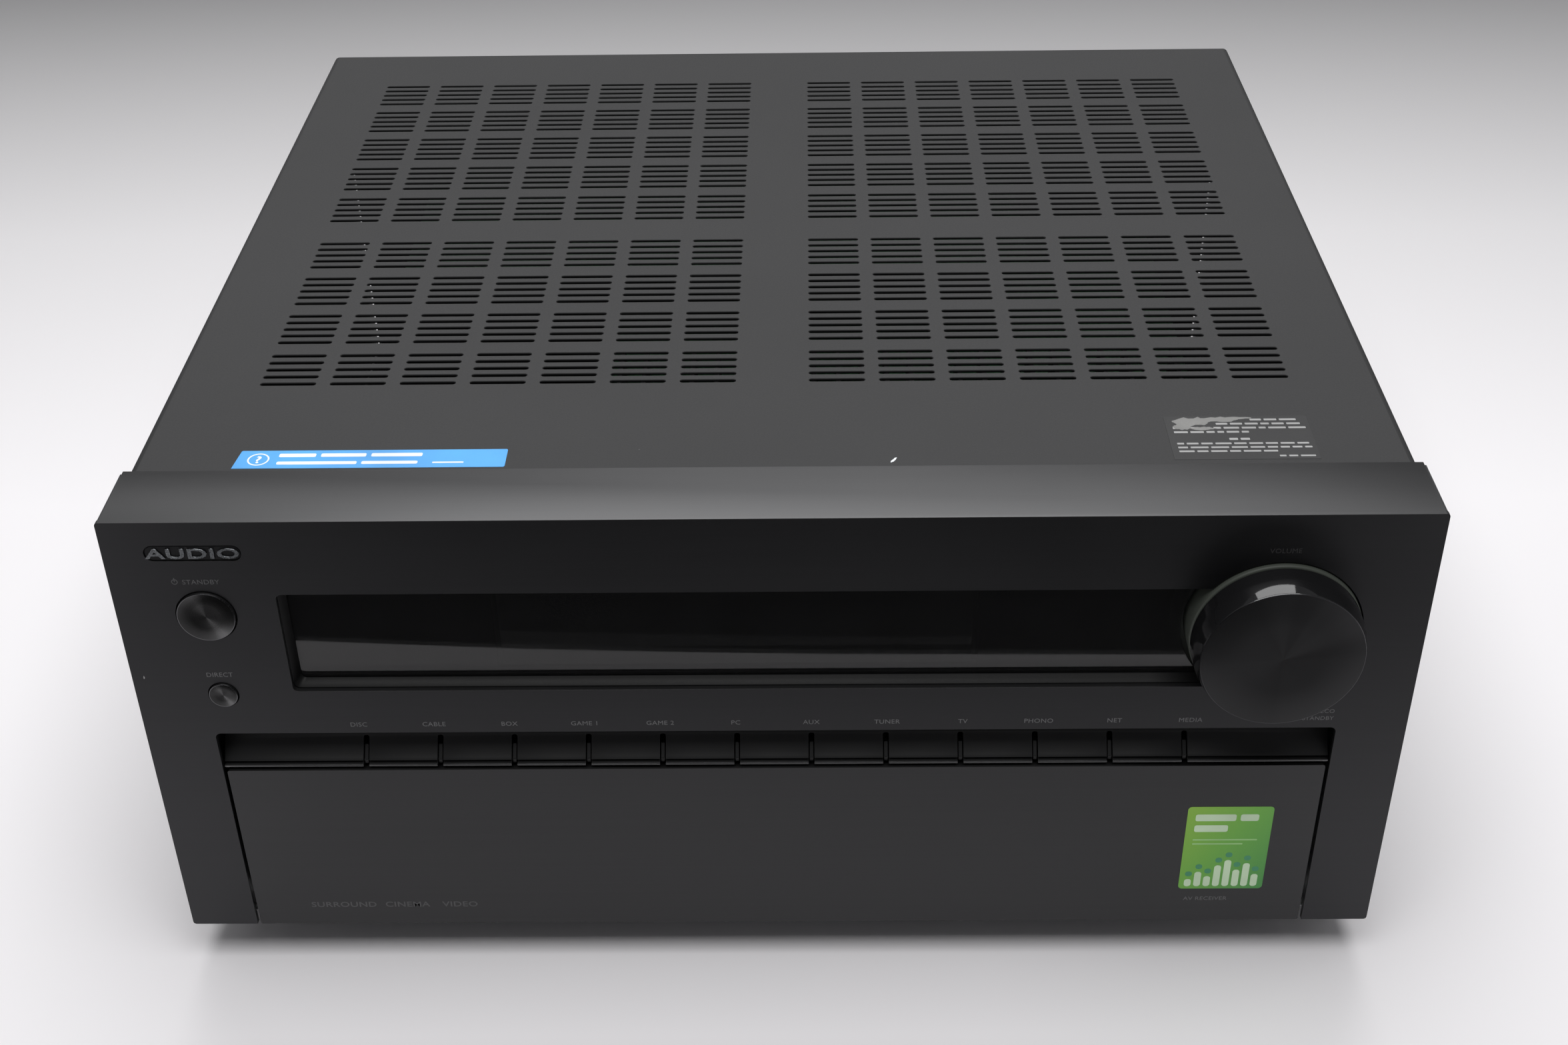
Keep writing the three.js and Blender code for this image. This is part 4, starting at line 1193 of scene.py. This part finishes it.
def make_foot(node):
    lo, hi = node_mm(node)
    cx, cy, r, h = (lo.x + hi.x) / 2, (lo.y + hi.y) / 2, (hi.x - lo.x) / 2, hi.z
    prof = [(0, 0.5, 1), (r - 6.5, 0.5, 1), (r - 6.2, 0.0, 1), (r - 3.2, 0.0, 1), (r - 2.9, 0.6, 1), (r - 1.6, 0.7, 0), (r - 0.9, 1.4, 0), (r - 0.1, 5.2, 0), (r, 6.2, 0), (r, 9.0, 0), (r - 0.7, 9.3, 0), (r - 0.7, 10.1, 0), (r, 10.4, 0), (r, 12.8, 0), (r - 0.5, 14.2, 0), (r - 2.2, h - 0.5, 0), (r - 2.8, h, 0), (0, h, 0)]
    bm = bmesh.new()
    turn_into(bm, lambda u, v, q: P(cx + u, cy + v, q), prof, 96)
    me = mesh_from(bm, node + "_turned")
    smooth_by(me, 35)
    finish_mesh(me.name, me, ["foot", "pad"], "chassis", (node,), None)


for n in ("front_left", "front_right", "rear_left", "rear_right"):
    make_foot("foot_" + n)


def make_rear():
    slo, shi = node_mm("speaker_terminal_block")
    bm = bmesh.new()
    box_into(bm, slo.x, shi.x, slo.y, 396.6, slo.z, shi.z, 0, 0.5)
    box_into(bm, slo.x + 1.2, shi.x - 1.2, 396.8, 398, slo.z + 1.2, shi.z - 1.2, 0, 0.4)
    for i in range(7):
        for z, m in ((41, 2), (65, 1)):
            x = -120 + i * 36.7
            put = lambda u, v, h, x=x, z=z: P(x + u, h, z + v)
            turn_into(bm, put, [(0, 397.9, 0), (6.15, 397.9, m), (6.15, 400.2, m), (5.7, 400.7, m), (0, 400.7, m)], 48)
            turn_into(bm, put, [(0, 400.6, 3), (3.2, 400.6, 3), (3.2, 403.6, 3), (0, 403.6, 3)], 32)
            turn_into(bm, put, [(2.0, 417.5, 3), (2.0, 420.6, 3), (2.3, 421.0, 3), (3.6, 421.0, 3), (4.0, 420.7, m), (5.2, 420.4, m), (5.6, 419.6, m, 0.35), (5.6, 405.0, m, 0.35), (5.3, 404.2, m), (5.3, 403.4, m), (2.0, 403.4, m)], 64)
    me = mesh_from(bm, "speaker_terminals")
    smooth_by(me, 30)
    finish_mesh(me.name, me, ["socket", "red", "clearblack", "gold"], "chassis", ("speaker_terminal_block",), None)

    rlo, rhi = node_mm("rca_jack_block")
    bm = bmesh.new()
    box_into(bm, rlo.x, rhi.x, rlo.y, 397, rlo.z, rhi.z, 0, 0.5)
    tops = [3, 3, 3, 3, 3, 4, 5, 6, 2]
    lows = [2, 2, 2, 2, 2, 4, 5, 6, 2]
    for i in range(9):
        for z, m in ((101, lows[i]), (119, tops[i])):
            x = -58 + i * 24.5
            put = lambda u, v, h, x=x, z=z: P(x + u, h, z + v)
            turn_into(bm, put, [(0, 396.9, 1), (5.6, 396.9, 1), (5.6, 397.5, 1), (5.2, 397.8, 1), (0, 397.8, 1)], 40)
            turn_into(bm, put, [(1.6, 398.2, m), (1.6, 403.6, m), (1.8, 403.9, m), (3.3, 403.9, m), (3.3, 404.7, 1), (3.5, 405.0, 1), (3.95, 405.0, 1), (4.15, 404.7, 1), (4.15, 397.9, 1), (1.6, 397.9, 1)], 40)
    me = mesh_from(bm, "phono_sockets")
    smooth_by(me, 30)
    finish_mesh(me.name, me, ["socket", "nickel", "red", "white", "yellow", "green", "blue"], "chassis", ("rca_jack_block",), None)

    refine("hdmi_port_row", 0.25, ["nickel"], 2, name="digital_port_row")
    bm = bmesh.new()
    for i in range(7):
        x = -137 + 26 * i
        box_into(bm, x - 5.4, x + 5.4, 385, 393.5, 163.3, 164.5, 0, 0.15)
    finish_mesh("digital_port_tongues", mesh_from(bm, "digital_port_tongues"), ["socket"], "chassis", (), None)

    refine("network_port", 0.3, ["nickel"], 2, name="network_port_shell")
    bm = bmesh.new()
    for i in range(8):
        box_into(bm, 66.1 + i * 1.27, 66.6 + i * 1.27, 384, 392.5, 165.0, 165.6, 0, 0.08)
    finish_mesh("network_port_contacts", mesh_from(bm, "network_port_contacts"), ["gold"], "chassis", (), None)

    def inlet_pick(x, y, z, n):
        inner = -194 < x < -168 and 35 < z < 55
        pins = any(abs(x - a) < 1.25 and abs(z - b) < 2.3 for a, b in ((-181, 48.2), (-188, 41.8), (-174, 41.8)))
        return 1 if inner and pins and y < 394 else 0

    refine("ac_inlet", 0.25, ["socket", "nickel"], 2, name="mains_inlet", pick=inlet_pick)

    alo, ahi = node_mm("antenna_terminal")
    bm = bmesh.new()
    box_into(bm, alo.x, ahi.x, alo.y, 396.5, alo.z, ahi.z, 0, 0.5)
    put = lambda u, v, h: P(133 + u, h, 162 + v)
    thread = [(0.9, 404.6, 1), (0.9, 405.6, 1), (1.1, 406.0, 1), (4.3, 406.0, 1), (4.7, 405.6, 1)]
    y = 405.4
    while y > 398.6:
        thread += [(4.75, y, 1), (4.45, y - 0.35, 1)]
        y -= 0.7
    thread += [(4.75, 398.2, 1), (4.8, 396.6, 1), (0.9, 396.6, 1)]
    turn_into(bm, put, thread, 48)
    for x in (150, 170):
        box_into(bm, x, x + 16, 396.7, 400.4, 156, 168, 2, 0.6)
        box_into(bm, x + 2.5, x + 13.5, 400.6, 403, 161.2, 167.2, 0 if x == 150 else 3, 0.6)
        turn_into(bm, lambda u, v, h, x=x: P(x + 8 + u, h, 158.8 + v), [(0, 400.5, 1), (1.9, 400.5, 1), (1.9, 400.7, 1), (1.1, 400.8, 0), (0, 400.8, 0)], 24)
    me = mesh_from(bm, "aerial_terminals")
    smooth_by(me, 30)
    finish_mesh(me.name, me, ["socket", "nickel", "socket", "white"], "chassis", ("antenna_terminal",), None)

    # pan-head screws with a cross recess
    bm = bmesh.new()
    turn_into(bm, lambda u, v, h: P(u, 394.6 + h, v), [(0, 0, 0), (2.9, 0, 0), (2.9, 0.45, 0), (2.5, 0.95, 0), (1.6, 1.25, 0), (0, 1.35, 0)], 32)
    head = mesh_from(bm, "head")
    bm = bmesh.new()
    box_into(bm, -1.6, 1.6, 395.2, 397, -0.28, 0.28)
    a = mesh_from(bm, "slot_a")
    bm = bmesh.new()
    box_into(bm, -0.28, 0.28, 395.2, 397, -1.6, 1.6)
    b = mesh_from(bm, "slot_b")
    head = boolean(boolean(head, a), b)
    src = bmesh.new()
    src.from_mesh(head)
    out = bmesh.new()
    for x, z in ((-205, 24), (205, 24), (-205, 190), (205, 190), (0, 190), (-100, 190), (100, 190), (-205, 110), (205, 110), (-148, 84), (128, 84), (-148, 22.6), (128, 22.6), (-78, 110), (158, 110), (-154, 150), (46, 150), (112, 145), (196, 145)):
        m = {}
        for v in src.verts:
            m[v] = out.verts.new(v.co + Vector((x * MM, 0, z * MM)))
        for f in src.faces:
            out.faces.new([m[v] for v in f.verts])
    src.free()
    me = mesh_from(out, "rear_screws")
    smooth_by(me, 30)
    finish_mesh(me.name, me, ["screw"], "chassis", (), None)

    Y = 394.6
    for words, x, z, h in (("SPEAKERS", -10, 81.0, 2.8), ("AC IN", -181, 60.5, 2.8), ("AUDIO IN / OUT", -9, 131.4, 2.6), ("VIDEO", 86, 131.4, 2.6), ("DIGITAL VIDEO", -55, 176.2, 2.6), ("NETWORK", 71, 174.4, 2.2), ("ANTENNA", 155, 177.6, 2.6), ("FM", 133, 145.5, 2.2), ("AM", 168, 145.5, 2.2)):
        text("rear_text_" + "".join(c for c in words.lower() if c.isalnum()), words, x, z, h, Y, "ink_white", "chassis", stretch=1.2, axis="back")
    for i, words in enumerate(("FRONT R", "FRONT L", "CENTER", "SURR R", "SURR L", "BACK R", "BACK L")):
        text("rear_speaker_%d" % (i + 1), words, -120 + 36.7 * i, 51.9, 2.0, 398.0, "ink_white", "chassis", stretch=1.2, axis="back")
    bm = bmesh.new()
    lines = [(-143, 123, 79.2, 79.5), (-73, 153, 129.3, 129.6), (-152, 42, 174.0, 174.3), (118, 192, 175.2, 175.5)]
    for x0, x1, z0, z1 in lines:
        plate(bm, rounded(x0, x1, z0, z1, 0.1, 2), [], lambda u, v, d: P(u, Y + 0.02 - d, v), 0.02, chamfer=0.008, steps=1)
    finish_mesh("rear_lines", mesh_from(bm, "rear_lines"), ["ink_white"], "chassis", (), None)


make_rear()

# ------------------------------------------------------------------ inside
for node, mat, slot_name, width in (
    ("knob_shaft", "steel", "shaft_steel", 0.2), ("volume_encoder", "steel", "encoder_body", 0.3), ("display_pcb", "pcb", "circuit_board", 0.15),
    ("selector_pcb", "pcb", "circuit_board", 0.15), ("psu_pcb", "pcb", "circuit_board", 0.15), ("amp_pcb", "pcb", "circuit_board", 0.15),
    ("main_pcb", "pcb", "circuit_board", 0.15), ("hdmi_pcb", "pcb", "circuit_board", 0.15), ("power_transformer", "iron", "transformer_iron", 0.8),
    ("heatsink", "fins", "heatsink_aluminium", 0.12), ("reservoir_capacitor_left", "sleeve", "capacitor_sleeve", 1.2), ("reservoir_capacitor_right", "sleeve", "capacitor_sleeve", 1.2)):
    refine(node, width, [mat], 2, name=node.replace("hdmi", "digital") + "_finish")

# ------------------------------------------------------------------ stage and light
def stage_quad(name, x0, x1, y0, y1, z, mat):
    bm = bmesh.new()
    bm.faces.new([bm.verts.new((x, y, z)) for x, y in ((x0, y0), (x1, y0), (x1, y1), (x0, y1))])
    me = bpy.data.meshes.new(name)
    bm.to_mesh(me)
    bm.free()
    me.materials.append(mat)
    ob = bpy.data.objects.new(name, me)
    bpy.context.scene.collection.objects.link(ob)
    return ob


def floor_material():
    """Pale paper with a painted falloff of light: the colour is brightest round the receiver and darkens behind it,
    painted shade for the light falling away.
    """
    m = Mat("floor_pale_painted_falloff", (0.88, 0.872, 0.88), 0.75)
    sep = m.n("ShaderNodeSeparateXYZ")
    m.link(m.co, sep.inputs[0])
    # painted shade: the paper's colour darkens towards the back
    back = m.remap(sep.outputs[1], 0.10, 0.95, 0.0, 1.0)
    tone = m.ramp(back, [(0.0, (0.90, 0.882, 0.90)), (0.35, (0.72, 0.708, 0.72)), (1.0, (0.18, 0.18, 0.183))])
    m.color(tone)
    m.b.inputs["Specular IOR Level"].default_value = 0.15
    return m.m


stage_quad("floor", -4, 4, -3.2, 5, 0, floor_material())

flag_mat = bpy.data.materials.new("studio_flag")
flag_mat.use_nodes = True
nt = flag_mat.node_tree
nt.nodes.clear()
em = nt.nodes.new("ShaderNodeEmission")
em.inputs[0].default_value = (1, 1, 1, 1)
em.inputs[1].default_value = 0.035
nt.links.new(em.outputs[0], nt.nodes.new("ShaderNodeOutputMaterial").inputs[0])
edge = [(-0.33, 185), (-0.275, 183), (-0.225, 181), (-0.190, 178.5), (-0.115, 173.5), (-0.045, 170.5), (0.02, 168.5), (0.14, 167), (0.34, 165)]
bm = bmesh.new()
bm.faces.new([bm.verts.new((x, (FRONT_Y - d) * MM, 0.001)) for x, d in edge] + [bm.verts.new((0.62, -3.2, 0.001)), bm.verts.new((-0.60, -3.2, 0.001))])
me = bpy.data.meshes.new("studio_flag")
bm.to_mesh(me)
bm.free()
me.materials.append(flag_mat)
flag = bpy.data.objects.new("studio_flag", me)
bpy.context.scene.collection.objects.link(flag)
flag.visible_camera = False
flag.visible_diffuse = False
flag.visible_shadow = False
flag.visible_transmission = False


def area_light(name, loc, target, sx, sy, radiance, color=(1, 1, 1)):
    li = bpy.data.lights.new(name, "AREA")
    li.shape = "RECTANGLE"
    li.size, li.size_y = sx, sy
    li.energy = radiance * math.pi * sx * sy
    li.color = color
    ob = bpy.data.objects.new(name, li)
    bpy.context.scene.collection.objects.link(ob)
    ob.location = loc
    d = Vector(target) - Vector(loc)
    ob.rotation_mode = "QUATERNION"
    ob.rotation_quaternion = d.to_track_quat("-Z", "Y")
    return ob


area_light("softbox_back", (0.02, 0.66, 1.46), (0, -0.2, 0.2), 1.20, 0.95, 2.8)
area_light("panel_back", (-0.15, 1.45, 1.16), (0, -0.2, 0.2), 2.4, 0.50, 1.7)
area_light("softbox_top", (0.0, -0.50, 1.74), (0, -0.22, 0), 1.6, 1.25, 3.75)

world = bpy.data.worlds.new("world")
bpy.context.scene.world = world
world.use_nodes = True
wt = world.node_tree
bg = wt.nodes["Background"]
bg.inputs[0].default_value = (0.97, 0.97, 1.0, 1)
path = wt.nodes.new("ShaderNodeLightPath")
mr = wt.nodes.new("ShaderNodeMapRange")
mr.inputs["To Min"].default_value = 0.16
mr.inputs["To Max"].default_value = 0.55
wt.links.new(path.outputs["Is Camera Ray"], mr.inputs["Value"])
wt.links.new(mr.outputs[0], bg.inputs[1])
bpy.context.scene.view_settings.view_transform = "Standard"
